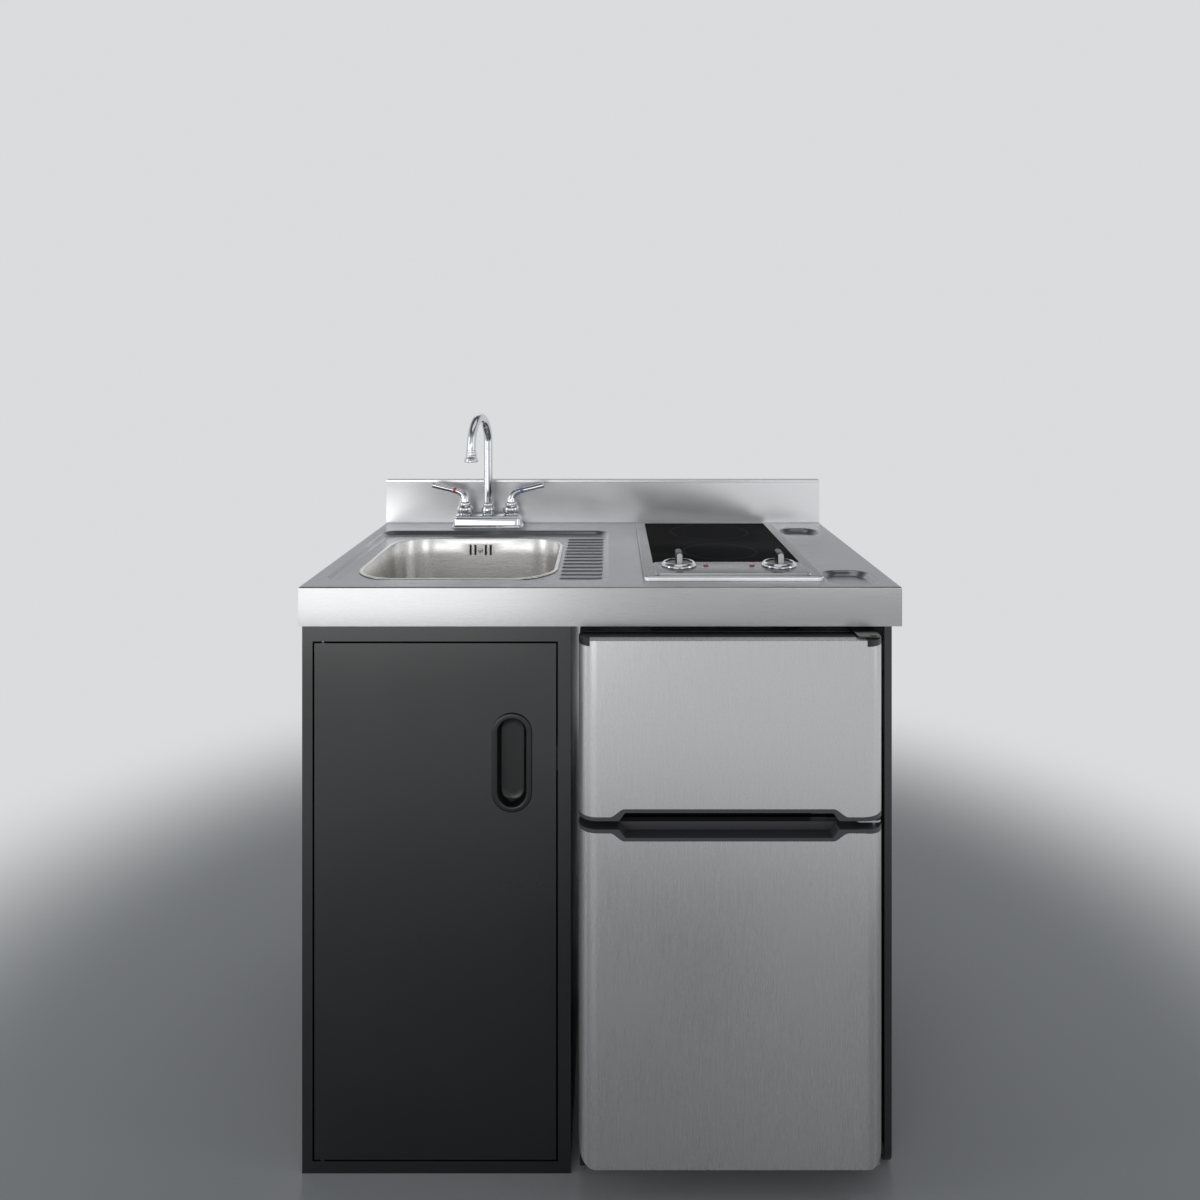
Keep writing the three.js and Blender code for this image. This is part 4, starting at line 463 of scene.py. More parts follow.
# -------------------------------------------------------------- sink bowl
# Deep-drawn satin steel, welded into the pressing under a rolled rim; four overflow slots
# stand either side of a screw in its rear wall.
def round_ring(middle, half, radius, inset, z, steps=12):
    """Points round a rectangle with round corners, moved inwards by inset, at height z."""
    points = []
    r = max(radius - inset, 0.2 * MM)
    for corner, (sx, sy) in enumerate(((1, -1), (1, 1), (-1, 1), (-1, -1))):
        cx = middle[0] + sx * (half[0] - radius)
        cy = middle[1] + sy * (half[1] - radius)
        for step in range(steps + 1):
            angle = math.radians(-90 + 90 * corner) + math.pi / 2 * step / steps
            points.append((cx + r * math.cos(angle), cy + r * math.sin(angle), z))
    return points


def skin(name, rings, closed=False, caps=(True, True), sharp=40):
    """A mesh over rings of equally many points; closed joins the last ring to the first."""
    count = len(rings[0])
    points = [p for ring in rings for p in ring]
    faces = []
    for i in range(len(rings) - (0 if closed else 1)):
        j = (i + 1) % len(rings)
        for k in range(count):
            m = (k + 1) % count
            faces.append((i * count + k, i * count + m, j * count + m, j * count + k))
    if not closed and caps[0]:
        faces.append(tuple(range(count))[::-1])
    if not closed and caps[1]:
        faces.append(tuple((len(rings) - 1) * count + k for k in range(count)))
    return mesh_of(name, points, faces, sharp)


bowl_bottom = bowl_hi.z - 160 * MM
bowl_draft, bowl_fillet, bowl_sheet = 10 * MM, 28 * MM, 1.5 * MM
drain_hole = 40 * MM


def bowl_profile(offset):
    """Inset and height pairs down the bowl's wall; offset is outwards from the inner face."""
    straight = bowl_hi.z - (bowl_bottom + bowl_fillet)
    rim_roll = 1.5 * MM
    pairs = [
        (bowl_draft * t - offset, bowl_hi.z - rim_roll - (straight - rim_roll) * t)
        for t in (0, 0.25, 0.5, 0.75, 1)
    ]
    for step in range(1, 11):
        angle = math.pi / 2 * step / 10
        pairs.append((
            bowl_draft + bowl_fillet - (bowl_fillet + offset) * math.cos(angle),
            bowl_bottom + bowl_fillet - (bowl_fillet + offset) * math.sin(angle),
        ))
    return pairs


def bowl_ring(inset, z):
    """A ring of the bowl, set in from its outline, at height z."""
    return round_ring(bowl_middle, bowl_half, bowl_corner, inset, z)


rim_top = bowl_hi.z
rings = [bowl_ring(-out * MM, rim_top + up * MM) for out, up in (
    (7, -1.9), (6.9, -1.3), (6.2, -0.7), (5, -0.3), (3.4, 0), (2, -0.05), (0.9, -0.5), (0.2, -1.1))]
inner = bowl_profile(0)
rings += [bowl_ring(inset, z) for inset, z in inner]
floor_inset = inner[-1][0]
drain_seat = drain_hole + 5 * MM


def drawn_in(x, y, share):
    """The point with its distance from the bowl's middle scaled."""
    return (bowl_middle[0] + (x - bowl_middle[0]) * share, bowl_middle[1] + (y - bowl_middle[1]) * share)


for t in (0.25, 0.5, 0.75, 1):
    ring = []
    for x, y, z in bowl_ring(floor_inset, bowl_bottom):
        to = drain_seat / math.hypot(x - bowl_middle[0], y - bowl_middle[1])
        ring.append((*drawn_in(x, y, 1 + (to - 1) * t), z - 0.2 * MM * t))
    rings.append(ring)
lip = rings[-1]
for back, down in ((2 * MM, 0.6 * MM), (4 * MM, 1.5 * MM), (4.5 * MM, 3 * MM)):
    rings.append([(*drawn_in(x, y, 1 - back / drain_seat), z - down) for x, y, z in lip])
outer = bowl_profile(bowl_sheet)[::-1]
rings.append([(x, y, bowl_bottom - bowl_sheet) for x, y, z in rings[-2]])
rings += [bowl_ring(inset, z) for inset, z in outer]
rings.append(bowl_ring(-1.6 * MM, rim_top - 2.2 * MM))
bowl_mesh = skin("sink_bowl_dressed", rings, closed=True)


def merged(objects):
    """Joins meshes into the first object's mesh."""
    work = bmesh.new()
    for o in objects:
        work.from_mesh(o)
    result = objects[0].copy()
    work.to_mesh(result)
    work.free()
    return result


def without(mesh, cutter_mesh, name, operation="DIFFERENCE"):
    """The first mesh with the second cut out of it, as a plain mesh."""
    body = bpy.data.objects.new("body", mesh)
    tool = bpy.data.objects.new("tool", cutter_mesh)
    for o in (body, tool):
        bpy.context.scene.collection.objects.link(o)
    cutting = body.modifiers.new("cut", "BOOLEAN")
    cutting.object = tool
    cutting.operation = operation
    cutting.solver = "EXACT"
    bpy.context.view_layer.update()
    made = bpy.data.meshes.new_from_object(body.evaluated_get(bpy.context.evaluated_depsgraph_get()))
    made.name = name
    for o in (body, tool):
        bpy.data.objects.remove(o)
    return made


slot_width, slot_height = 4.5 * MM, 22 * MM
slot_top = deck - 18.6 * MM
rear_wall = bowl_middle[1] + bowl_half[1]
slot_cutters = []
for offset in (-21 * MM, -11 * MM, 11 * MM, 21 * MM):
    outline = round_ring(
        (bowl_middle[0] + offset, slot_top - slot_height / 2), (slot_width / 2, slot_height / 2),
        slot_width / 2, 0, 0, 6,
    )
    slot_cutters.append(skin("slot", [
        [(x, y, z) for x, z, _ in outline] for y in (rear_wall - 30 * MM, rear_wall + 10 * MM)
    ]))
bowl_mesh = without(bowl_mesh, merged(slot_cutters), "sink_bowl_dressed")
bowl_mesh.shade_smooth()
bowl_mesh.set_sharp_from_angle(angle=math.radians(40))
bowl_steel = brushed_steel("bowl_steel", (0.74, 0.73, 0.715), 0.27, 900, scratch=0.03)
new_object("sink_bowl_dressed", bowl_mesh, bowl_steel, "unit", ["sink_bowl"])


# ---------------------------------------------------------- overflow and waste
# Behind the slots one screw holds a moulded box; a grey pipe leads from it to the plated drain
# under the bowl's floor. A plastic nut clamps the drain, and a trap is screwed under it.
def surface(name, colour, roughness, metallic=0.0, grain=900, depth=0.0, mottle=0.05, cloud=7):
    """A finish with slight clouds in colour and gloss and a fine grain of the given depth."""
    material, n, link, shader = node_tree(name)
    place = n.new("ShaderNodeTexCoord")
    clouds = n.new("ShaderNodeTexNoise")
    clouds.inputs["Scale"].default_value = cloud
    clouds.inputs["Detail"].default_value = 5
    link.new(place.outputs["Object"], clouds.inputs["Vector"])
    shade = n.new("ShaderNodeMix")
    shade.data_type = "RGBA"
    shade.inputs["A"].default_value = tuple((1 - mottle) * c for c in colour) + (1,)
    shade.inputs["B"].default_value = tuple(min(1, (1 + mottle) * c) for c in colour) + (1,)
    link.new(clouds.outputs["Fac"], shade.inputs["Factor"])
    link.new(shade.outputs["Result"], shader.inputs["Base Color"])
    speckle = n.new("ShaderNodeTexNoise")
    speckle.inputs["Scale"].default_value = grain
    speckle.inputs["Detail"].default_value = 3
    link.new(place.outputs["Object"], speckle.inputs["Vector"])
    spread = n.new("ShaderNodeMapRange")
    spread.inputs["From Min"].default_value = 0.3
    spread.inputs["From Max"].default_value = 0.7
    spread.inputs["To Min"].default_value = max(0.02, roughness - 0.04)
    spread.inputs["To Max"].default_value = roughness + 0.04
    link.new(clouds.outputs["Fac"], spread.inputs["Value"])
    link.new(spread.outputs["Result"], shader.inputs["Roughness"])
    if depth:
        relief = n.new("ShaderNodeBump")
        relief.inputs["Strength"].default_value = 0.6
        relief.inputs["Distance"].default_value = depth
        link.new(speckle.outputs["Fac"], relief.inputs["Height"])
        link.new(relief.outputs["Normal"], shader.inputs["Normal"])
    shader.inputs["Metallic"].default_value = metallic
    return material


chrome = surface("chrome_plate", (0.68, 0.69, 0.71), 0.07, 1.0, mottle=0.02)
zinc = surface("zinc_plate", (0.50, 0.52, 0.55), 0.34, 1.0, grain=500, depth=0.00004, mottle=0.12, cloud=30)
grey_plastic = surface("grey_plastic", (0.30, 0.31, 0.32), 0.45, grain=1600, depth=0.00003)


def softened(line, radius, steps=3):
    """A closed line of (radius, height) pairs with its corners bent through short curves."""
    out = []
    for i, p in enumerate(line):
        p, before, after = Vector(p), Vector(line[i - 1]), Vector(line[(i + 1) % len(line)])
        if p.x < 1e-7:
            out.append(tuple(p))
            continue
        a = p.lerp(before, min(0.45, radius / max((p - before).length, 1e-9)))
        b = p.lerp(after, min(0.45, radius / max((p - after).length, 1e-9)))
        for step in range(steps + 1):
            t = step / steps
            out.append(tuple((1 - t) ** 2 * a + 2 * t * (1 - t) * p + t * t * b))
    return out


def turned(name, profile, middle=(0, 0), steps=64, sharp=35, soft=0.0):
    """A closed (radius, height) profile turned round an upright axis."""
    if soft:
        profile = softened(profile, soft)
    points, rows = [], []
    for r, z in profile:
        if r < 1e-7:
            rows.append([len(points)] * steps)
            points.append((middle[0], middle[1], z))
            continue
        rows.append(list(range(len(points), len(points) + steps)))
        for k in range(steps):
            angle = 2 * math.pi * k / steps
            points.append((middle[0] + r * math.cos(angle), middle[1] + r * math.sin(angle), z))
    faces = []
    for a, b in zip(rows, rows[1:] + rows[:1]):
        for k in range(steps):
            m = (k + 1) % steps
            loop = [a[k], a[m], b[m], b[k]]
            loop = [v for i, v in enumerate(loop) if v != loop[i - 1]]
            if len(set(loop)) > 2:
                faces.append(loop)
    return mesh_of(name, points, faces, sharp)


def mm(*pairs):
    """Pairs of millimetres as metres."""
    return [tuple(value * MM for value in pair) for pair in pairs]


def raised(foot, *pairs):
    """Radius and height pairs in millimetres above the foot, as metres."""
    return [(r * MM, foot + z * MM) for r, z in pairs]


def bent_route(corners, bend, steps=10):
    """Points along straight runs joined by quarter bends of the given radius."""
    corners = [Vector(c) for c in corners]
    route = [corners[0]]
    for before, p, after in zip(corners, corners[1:], corners[2:]):
        come, go = (p - before).normalized(), (after - p).normalized()
        middle = p + (go - come) * bend
        for step in range(steps + 1):
            angle = math.pi / 2 * step / steps
            route.append(middle - go * bend * math.cos(angle) + come * bend * math.sin(angle))
    return route + [corners[-1]]


def swept(name, route, girth, bore=0.0, sides=28, flat=1.0, sharp=35):
    """A tube or rod along a route; girth is one radius or one for each point."""
    girth = girth if isinstance(girth, list) else [girth] * len(route)
    tangents = []
    for i in range(len(route)):
        ahead, behind = route[min(i + 1, len(route) - 1)], route[max(i - 1, 0)]
        tangents.append((ahead - behind).normalized())
    side = Vector((0, 0, 1)).cross(tangents[0])
    side = side.normalized() if side.length > 1e-3 else Vector((1, 0, 0))
    rings, inner = [], []
    for p, tangent, r in zip(route, tangents, girth):
        side = (side - tangent * side.dot(tangent)).normalized()
        other = tangent.cross(side)
        turn = [2 * math.pi * k / sides for k in range(sides)]
        rings.append([p + side * r * math.cos(a) + other * r * flat * math.sin(a) for a in turn])
        inner.append([p + side * bore * math.cos(a) + other * bore * math.sin(a) for a in turn])
    if bore:
        return skin(name, rings + inner[::-1], closed=True, sharp=sharp)
    return skin(name, rings, sharp=sharp)


box_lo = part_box("overflow_box")[0]
slot_middle = slot_top - slot_height / 2
dressed("overflow_box", "unit", grey_plastic, 0.8 * MM)
screw = turned("overflow_screw", mm((0, 0), (4.3, 0), (4.3, 1.2), (3.4, 2.3), (0, 2.7)),
               soft=0.5 * MM, steps=32)
for slit_half in ((2.9 * MM, 0.45 * MM), (0.45 * MM, 2.9 * MM)):
    slit = skin("slit", [round_ring((0, 0), slit_half, 0.2 * MM, 0, z, 2) for z in (1.7 * MM, 3 * MM)])
    screw = without(screw, slit, "overflow_screw")
screw_place = Matrix.Translation((bowl_middle[0], box_lo.y + 2.2 * MM, slot_middle))
screw.transform(screw_place @ Matrix.Rotation(math.pi / 2, 4, "X"))
tidy_up(screw)
new_object("overflow_screw", screw, chrome, "unit", ["overflow_box"])

pipe_lo, pipe_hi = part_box("overflow_pipe")
pipe_radius = 9 * MM
pipe_route = bent_route(
    [(bowl_middle[0], pipe_hi.y - pipe_radius, pipe_hi.z),
     (bowl_middle[0], pipe_hi.y - pipe_radius, pipe_lo.z + pipe_radius),
     (bowl_middle[0], pipe_lo.y, pipe_lo.z + pipe_radius)], 26 * MM, 14,
)
new_object("overflow_pipe_dressed", swept("overflow_pipe_dressed", pipe_route, pipe_radius), grey_plastic,
           "unit", ["overflow_pipe"])

drain_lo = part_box("drain_body")[0]
cup_top = bowl_bottom - 1.5 * MM
cup_low = cup_top - 46 * MM
drain = turned("drain_dressed", [
    (46 * MM, bowl_bottom + 0.3 * MM), (45.6 * MM, bowl_bottom + 1.2 * MM), (42 * MM, bowl_bottom + 2.3 * MM),
    (38.4 * MM, bowl_bottom + 2.2 * MM), (37 * MM, bowl_bottom + 0.3 * MM), (37 * MM, cup_low + 8 * MM),
    (29 * MM, cup_low), (17 * MM, cup_low), (17 * MM, drain_lo.z), (19 * MM, drain_lo.z),
    (19 * MM, cup_low - 2 * MM), (30 * MM, cup_low - 2 * MM), (39 * MM, cup_low + 8 * MM),
    (39 * MM, bowl_bottom + 0.3 * MM),
], bowl_middle, 72, soft=0.7 * MM)
new_object("drain_dressed", drain, chrome, "unit", ["drain_body"])
inlet = cup_top - 25.3 * MM
boss = swept("drain_boss", [
    Vector((bowl_middle[0], bowl_middle[1] + 36 * MM, inlet)),
    Vector((bowl_middle[0], bowl_middle[1] + 54 * MM, inlet)),
], 11 * MM, 8 * MM)
new_object("drain_boss", boss, zinc, "unit", ["drain_body"])
nut_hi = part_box("drain_nut")[1]
new_object("drain_nut_dressed", turned(
    "drain_nut_dressed", raised(nut_hi.z, (39.3, -7), (47, -7), (47, -2), (49, -2), (49, 0), (39.3, 0)),
    bowl_middle, 72, soft=0.8 * MM,
), grey_plastic, "unit", ["drain_nut"])

strainer_lo, strainer_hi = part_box("strainer_basket")
strainer = turned("strainer", raised(
    strainer_hi.z, (0, -34), (24.7, -34), (29.7, -31), (35.7, -3), (36.7, -1.2), (36.7, 0), (33.7, 0), (33.7, -3),
    (27.7, -30), (23.7, -32.5), (5, -32.5), (3, -29), (3, -9), (7, -5.5), (7.5, -1.5), (5, 0), (0, 0),
), bowl_middle, 64, soft=1.0 * MM)


def grown(mesh, tree, sizes):
    """The mesh that a node tree makes from this one, with its inputs set, as a plain mesh."""
    holder = bpy.data.objects.new("seed", mesh)
    bpy.context.scene.collection.objects.link(holder)
    modifier = holder.modifiers.new("nodes", "NODES")
    modifier.node_group = tree
    for socket, value in sizes.items():
        modifier[socket.identifier] = value
    bpy.context.view_layer.update()
    made = bpy.data.meshes.new_from_object(holder.evaluated_get(bpy.context.evaluated_depsgraph_get()))
    bpy.data.objects.remove(holder)
    return made


def perforated(name, mesh, holes, radius, sides=10):
    """The mesh with upright holes: Geometry Nodes stand one cutter on each point."""
    tree = bpy.data.node_groups.new(name, "GeometryNodeTree")
    tree.interface.new_socket("Geometry", in_out="INPUT", socket_type="NodeSocketGeometry")
    width = tree.interface.new_socket("Hole radius", in_out="INPUT", socket_type="NodeSocketFloat")
    tall = tree.interface.new_socket("Cutter height", in_out="INPUT", socket_type="NodeSocketFloat")
    tree.interface.new_socket("Geometry", in_out="OUTPUT", socket_type="NodeSocketGeometry")
    n, link = tree.nodes, tree.links
    entry, leave = n.new("NodeGroupInput"), n.new("NodeGroupOutput")
    cutter = n.new("GeometryNodeMeshCylinder")
    cutter.inputs["Vertices"].default_value = sides
    link.new(entry.outputs["Hole radius"], cutter.inputs["Radius"])
    link.new(entry.outputs["Cutter height"], cutter.inputs["Depth"])
    stand = n.new("GeometryNodeInstanceOnPoints")
    link.new(entry.outputs["Geometry"], stand.inputs["Points"])
    link.new(cutter.outputs["Mesh"], stand.inputs["Instance"])
    real = n.new("GeometryNodeRealizeInstances")
    link.new(stand.outputs["Instances"], real.inputs["Geometry"])
    finish = n.new("GeometryNodeSetMaterial")
    finish.inputs["Material"].default_value = chrome
    link.new(real.outputs["Geometry"], finish.inputs["Geometry"])
    link.new(finish.outputs["Geometry"], leave.inputs["Geometry"])
    cloud = bpy.data.meshes.new(name)
    cloud.from_pydata(holes, [], [])
    return without(mesh, grown(cloud, tree, {width: radius, tall: 6 * MM}), name)


strainer_holes = []
for ring_radius, count in ((9, 8), (14.5, 14), (20, 20)):
    for k in range(count):
        angle = 2 * math.pi * k / count
        strainer_holes.append((
            bowl_middle[0] + ring_radius * MM * math.cos(angle),
            bowl_middle[1] + ring_radius * MM * math.sin(angle), strainer_lo.z + 1 * MM,
        ))
strainer = perforated("strainer_dressed", strainer, strainer_holes, 1.6 * MM)
tidy_up(strainer)
new_object("strainer_dressed", strainer, chrome, "strainer_basket", ["strainer_basket"])

trap_lo, trap_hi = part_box("waste_trap")
trap_radius, trap_bend = 19 * MM, 40 * MM
trap_top = drain_lo.z - 0.3 * MM
arm = trap_top - 20 * MM
rise = bowl_middle[1] + 2 * trap_bend
trap_route = bent_route([(bowl_middle[0], y, z) for y, z in (
    (bowl_middle[1], trap_top), (bowl_middle[1], trap_lo.z + trap_radius), (rise, trap_lo.z + trap_radius),
    (rise, arm), (trap_hi.y, arm))], trap_bend - 0.01 * MM, 12)
new_object("trap_dressed", swept("trap_dressed", trap_route, trap_radius, 17 * MM, 36), grey_plastic,
           "unit", ["waste_trap"])
slip_nut = turned("trap_nut", raised(trap_top, (19.2, -12), (26, -12), (26, 12), (24.5, 18), (19.3, 18)),
                  bowl_middle, 48, soft=1.2 * MM)
new_object("trap_nut", slip_nut, grey_plastic, "unit", ["waste_trap"])


# -------------------------------------------------------------------- tap
# A cast brass deck mixer, polished and chrome plated: a flared deck plate, two bonnets with
# levers that carry a red and a blue ring, and a swan-neck tube in a collar.
base_lo, base_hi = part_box("tap_base")
tap_middle, foot_half = plan_of(base_lo, base_hi)
valve_half_spacing = 51 * MM
valve_x = {"hot": tap_middle[0] - valve_half_spacing, "cold": tap_middle[0] + valve_half_spacing}
bonnet_foot = deck + 25.3 * MM
deck_plate = skin("tap_base_dressed", [
    round_ring(tap_middle, foot_half, 13 * MM, inset * MM, deck + z * MM, 10) for inset, z in (
        (0.3, 0.3), (0, 0.8), (0, 1.8), (0.7, 2.6), (2.2, 3.8), (3.5, 5.2), (4, 6.8), (4.1, 18.6),
        (4.6, 19.8), (5.9, 20.4), (6.6, 21), (6.7, 23), (7.3, 24.4), (8.8, 25))
], sharp=50)
# Each shank is threaded: its outline steps between the thread's crest and its root.
thread_crest, thread_root, thread_step, shank_bore = 10, 9.1, 0.9, 6
shank_line = raised(
    base_lo.z, (shank_bore, 0), (9.6, 0),
    *[(thread_crest if step % 2 else thread_root, 1 + step * thread_step) for step in range(48)],
) + raised(deck, (thread_root, 1), (shank_bore, 1))
shanks = [turned("shank", shank_line, (x, tap_middle[1]), 32, sharp=80) for x in valve_x.values()]
new_object("tap_base_dressed", merged([deck_plate] + shanks), chrome, "unit", ["tap_base"])

for side, x in valve_x.items():
    at_valve = (x, tap_middle[1])
    new_object(f"{side}_bonnet_dressed", turned(f"{side}_bonnet_dressed", raised(
        bonnet_foot, (4.2, 0), (15.6, 0), (16.4, 1.6), (15.4, 3), (16.6, 5.4), (17.7, 9), (18, 13), (17.2, 16.6),
        (15.4, 19.6), (13.2, 21.6), (12.9, 22.6), (13.6, 23.6), (13.2, 26.4), (11.8, 29), (4.2, 29),
    ), at_valve, 72, sharp=48, soft=0.7 * MM), chrome, "unit", [f"{side}_bonnet"])
    nut_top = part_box(f"{side}_shank_nut")[1].z
    new_object(f"{side}_nut_dressed", turned(f"{side}_nut_dressed", raised(
        nut_top, (10.3, -11), (15, -11), (15, -3), (21, -3), (21, 0), (10.3, 0),
    ), at_valve, 48, soft=0.6 * MM), grey_plastic, "unit", [f"{side}_shank_nut"])


def smooth_route(points, per=7):
    """A smooth curve through the points."""
    points = [Vector(p) for p in points]
    ends = [2 * points[0] - points[1]] + points + [2 * points[-1] - points[-2]]
    route = []
    for a, b, c, d in zip(ends, ends[1:], ends[2:], ends[3:]):
        for step in range(per):
            t = step / per
            route.append(0.5 * (2 * b + (c - a) * t + (2 * a - 5 * b + 4 * c - d) * t * t
                                + (3 * b - a - 3 * c + d) * t ** 3))
    return route + [points[-1]]


def blended(values, count):
    """The values spread evenly over count places."""
    places = np.linspace(0, len(values) - 1, count)
    return [float(v) for v in np.interp(places, range(len(values)), values)]


enamel = {
    "hot": surface("red_enamel", (0.62, 0.10, 0.06), 0.25, mottle=0.08),
    "cold": surface("blue_enamel", (0.16, 0.26, 0.62), 0.25, mottle=0.08),
}
lever_root = bonnet_foot + 29.3 * MM
for side, outward in (("hot", -1), ("cold", 1)):
    x = valve_x[side]
    spine = smooth_route([
        (x + outward * a * MM, tap_middle[1], lever_root + z * MM) for a, z in (
            (0, 0), (0.4, 6), (2.6, 12.5), (8, 18.5), (17, 23), (30, 26.3), (44, 29.6), (58, 33), (71, 36.4))
    ])
    girth = [v * MM for v in blended([11.6, 10.9, 9.6, 8.0, 6.6, 5.9, 5.8, 6.1, 6.4], len(spine))]
    # The arm's end is cut square and slightly rounded.
    tip, along = spine[-1], (spine[-1] - spine[-2]).normalized()
    spine += [tip + along * 0.6 * MM, tip + along * 1.0 * MM]
    girth += [6.0 * MM, 4.6 * MM]
    arm_mesh = swept(f"{side}_lever_dressed", spine, girth, sides=32, flat=0.92, sharp=60)
    stem = turned("stem", raised(lever_root, (0, -12), (4, -12), (4, 1), (0, 1)), (x, tap_middle[1]), 24)
    new_object(f"{side}_lever_dressed", merged([arm_mesh, stem]), chrome, f"{side}_lever",
               [f"{side}_lever"])
    # The enamel band covers three steps of the arm, just past its bend.
    band = slice(30, 34)
    ring_mesh = swept(f"{side}_ring", spine[band], [g + 0.25 * MM for g in girth[band]], sides=32, flat=0.93)
    new_object(f"{side}_ring", ring_mesh, enamel[side], f"{side}_lever", [f"{side}_lever"])

new_object("spout_collar_dressed", turned("spout_collar_dressed", raised(
    bonnet_foot, (9.8, 0), (13.2, 0), (14, 1.6), (13.2, 3), (14.6, 6), (15.5, 10), (15.2, 14.6), (13.6, 18.6),
    (12.2, 20.8), (12.7, 22.6), (12.2, 25), (11, 27.6), (9.8, 28),
), tap_middle, 72, sharp=48, soft=0.6 * MM), chrome, "unit", ["spout_collar"])

spout_radius, spout_reach, neck_bend = 9.5 * MM, 120 * MM, 60 * MM
spout_top = deck + 253 * MM - spout_radius
spout_end = spout_top - neck_bend - 4 * MM
# At rest the spout is turned a little to the left of straight ahead.
spout_turn = Matrix.Rotation(math.radians(-9.5), 4, "Z")
rest_turn = Matrix.Translation((tap_middle[0], tap_middle[1], 0)) @ spout_turn
neck = swept("spout_dressed", bent_route([
    (0, 0, bonnet_foot + 0.3 * MM), (0, 0, spout_top), (0, -spout_reach, spout_top),
    (0, -spout_reach, spout_end),
], neck_bend - 0.01 * MM, 22), spout_radius, 7.5 * MM, 40)
neck.transform(rest_turn)
new_object("spout_dressed", neck, chrome, "spout", ["spout"])
bell_top = spout_end - 0.3 * MM
bell = turned("aerator_dressed", raised(
    bell_top, (0, -20.5), (11.8, -20.5), (12.4, -24), (13.8, -24), (15, -23), (15, -21), (13.4, -16.5),
    (11.6, -12.6), (11, -10.4), (11.4, -9), (11.2, -5), (10.3, -3.6), (10.4, 0), (0, 0),
), steps=64, sharp=45, soft=0.6 * MM)
bell.transform(rest_turn @ Matrix.Translation((0, -spout_reach, 0)))
new_object("aerator_dressed", bell, chrome, "spout", ["aerator"])


# -------------------------------------------------------------------- hob
# A black ceramic glass lies in a pressed stainless frame. The frame's front is raised as a
# control plate with two knobs in plated bezels and two red lamps; a zinc pan hangs below.
frame_lo, frame_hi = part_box("hob_frame")
glass_lo, glass_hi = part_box("hob_glass")
hob_middle, hob_half = plan_of(frame_lo, frame_hi)
glass_middle, glass_half = plan_of(glass_lo, glass_hi)
frame_top = glass_hi.z + 0.2 * MM
rings = [round_ring(hob_middle, hob_half, 8 * MM, inset * MM, z, 8) for inset, z in (
    (2.2, deck + 0.3 * MM), (0, deck + 0.3 * MM), (0, frame_top - 3.2 * MM), (0.3, frame_top - 2 * MM),
    (1.1, frame_top - 1 * MM), (2.3, frame_top - 0.3 * MM), (3.8, frame_top), (6, frame_top))]
rings += [round_ring(glass_middle, glass_half, 3.2 * MM, inset * MM, frame_top + z * MM, 8) for inset, z in (
    (-1.2, 0), (-0.6, -0.15), (-0.3, -0.6), (-0.3, -4.6), (8, -4.6), (8, -6.4), (-2, -6.4))]
rings.append(round_ring(hob_middle, hob_half, 8 * MM, 5 * MM, frame_top - 2 * MM, 8))
hob_steel = brushed_steel("hob_steel", (0.17, 0.17, 0.18), 0.24, 1500)
hob_frame = new_object("hob_frame_dressed", skin("hob_frame_dressed", rings, closed=True, sharp=50), hob_steel,
                       "unit", ["hob_frame"])
plate_half = (131 * MM, 46 * MM)
plate_middle = (hob_middle[0], frame_lo.y + 7 * MM + plate_half[1])
plate_top = frame_hi.z
control_plate = new_object("control_plate", skin("control_plate", [
    round_ring(plate_middle, plate_half, 10 * MM, inset * MM, plate_top + z * MM, 10) for inset, z in (
        (3, -4.5), (-1.6, -3.1), (-0.7, -2.9), (0, -2.4), (0.5, -1.2), (1.3, -0.4), (2.6, 0))
], sharp=60), hob_steel, "unit", ["hob_frame"])
# The front-facing faces of the frame and the control plate get the lighter copy of the steel: a painted
# highlight.
for pressed in (hob_frame, control_plate):
    finished_apart(pressed, lit_steel, lambda face: face.normal.y < -0.25)


def ringed_glass(name, zones):
    """Black glass with thin printed rings round each heating zone."""
    material = surface(name, (0.010, 0.010, 0.011), 0.08, mottle=0.1)
    n, link = material.node_tree.nodes, material.node_tree.links
    shader = n["Principled BSDF"]
    shader.inputs["Specular IOR Level"].default_value = 0
    shader.inputs["Coat Weight"].default_value = 0.035
    shader.inputs["Coat Roughness"].default_value = 0.04
    place = n.new("ShaderNodeTexCoord")
    total = None
    for middle, radii in zones:
        away = n.new("ShaderNodeVectorMath")
        away.operation = "DISTANCE"
        away.inputs[1].default_value = middle
        link.new(place.outputs["Object"], away.inputs[0])
        for radius in radii:
            line = n.new("ShaderNodeMath")
            line.operation = "COMPARE"
            line.inputs[1].default_value = radius
            line.inputs[2].default_value = 0.5 * MM
            link.new(away.outputs["Value"], line.inputs[0])
            if total is None:
                total = line.outputs[0]
                continue
            both = n.new("ShaderNodeMath")
            both.operation = "MAXIMUM"
            link.new(total, both.inputs[0])
            link.new(line.outputs[0], both.inputs[1])
            total = both.outputs[0]
    ink = n.new("ShaderNodeMix")
    ink.data_type = "RGBA"
    ink.inputs["B"].default_value = (0.045, 0.045, 0.048, 1)
    link.new(shader.inputs["Base Color"].links[0].from_socket, ink.inputs["A"])
    link.new(total, ink.inputs["Factor"])
    link.new(ink.outputs["Result"], shader.inputs["Base Color"])
    return material


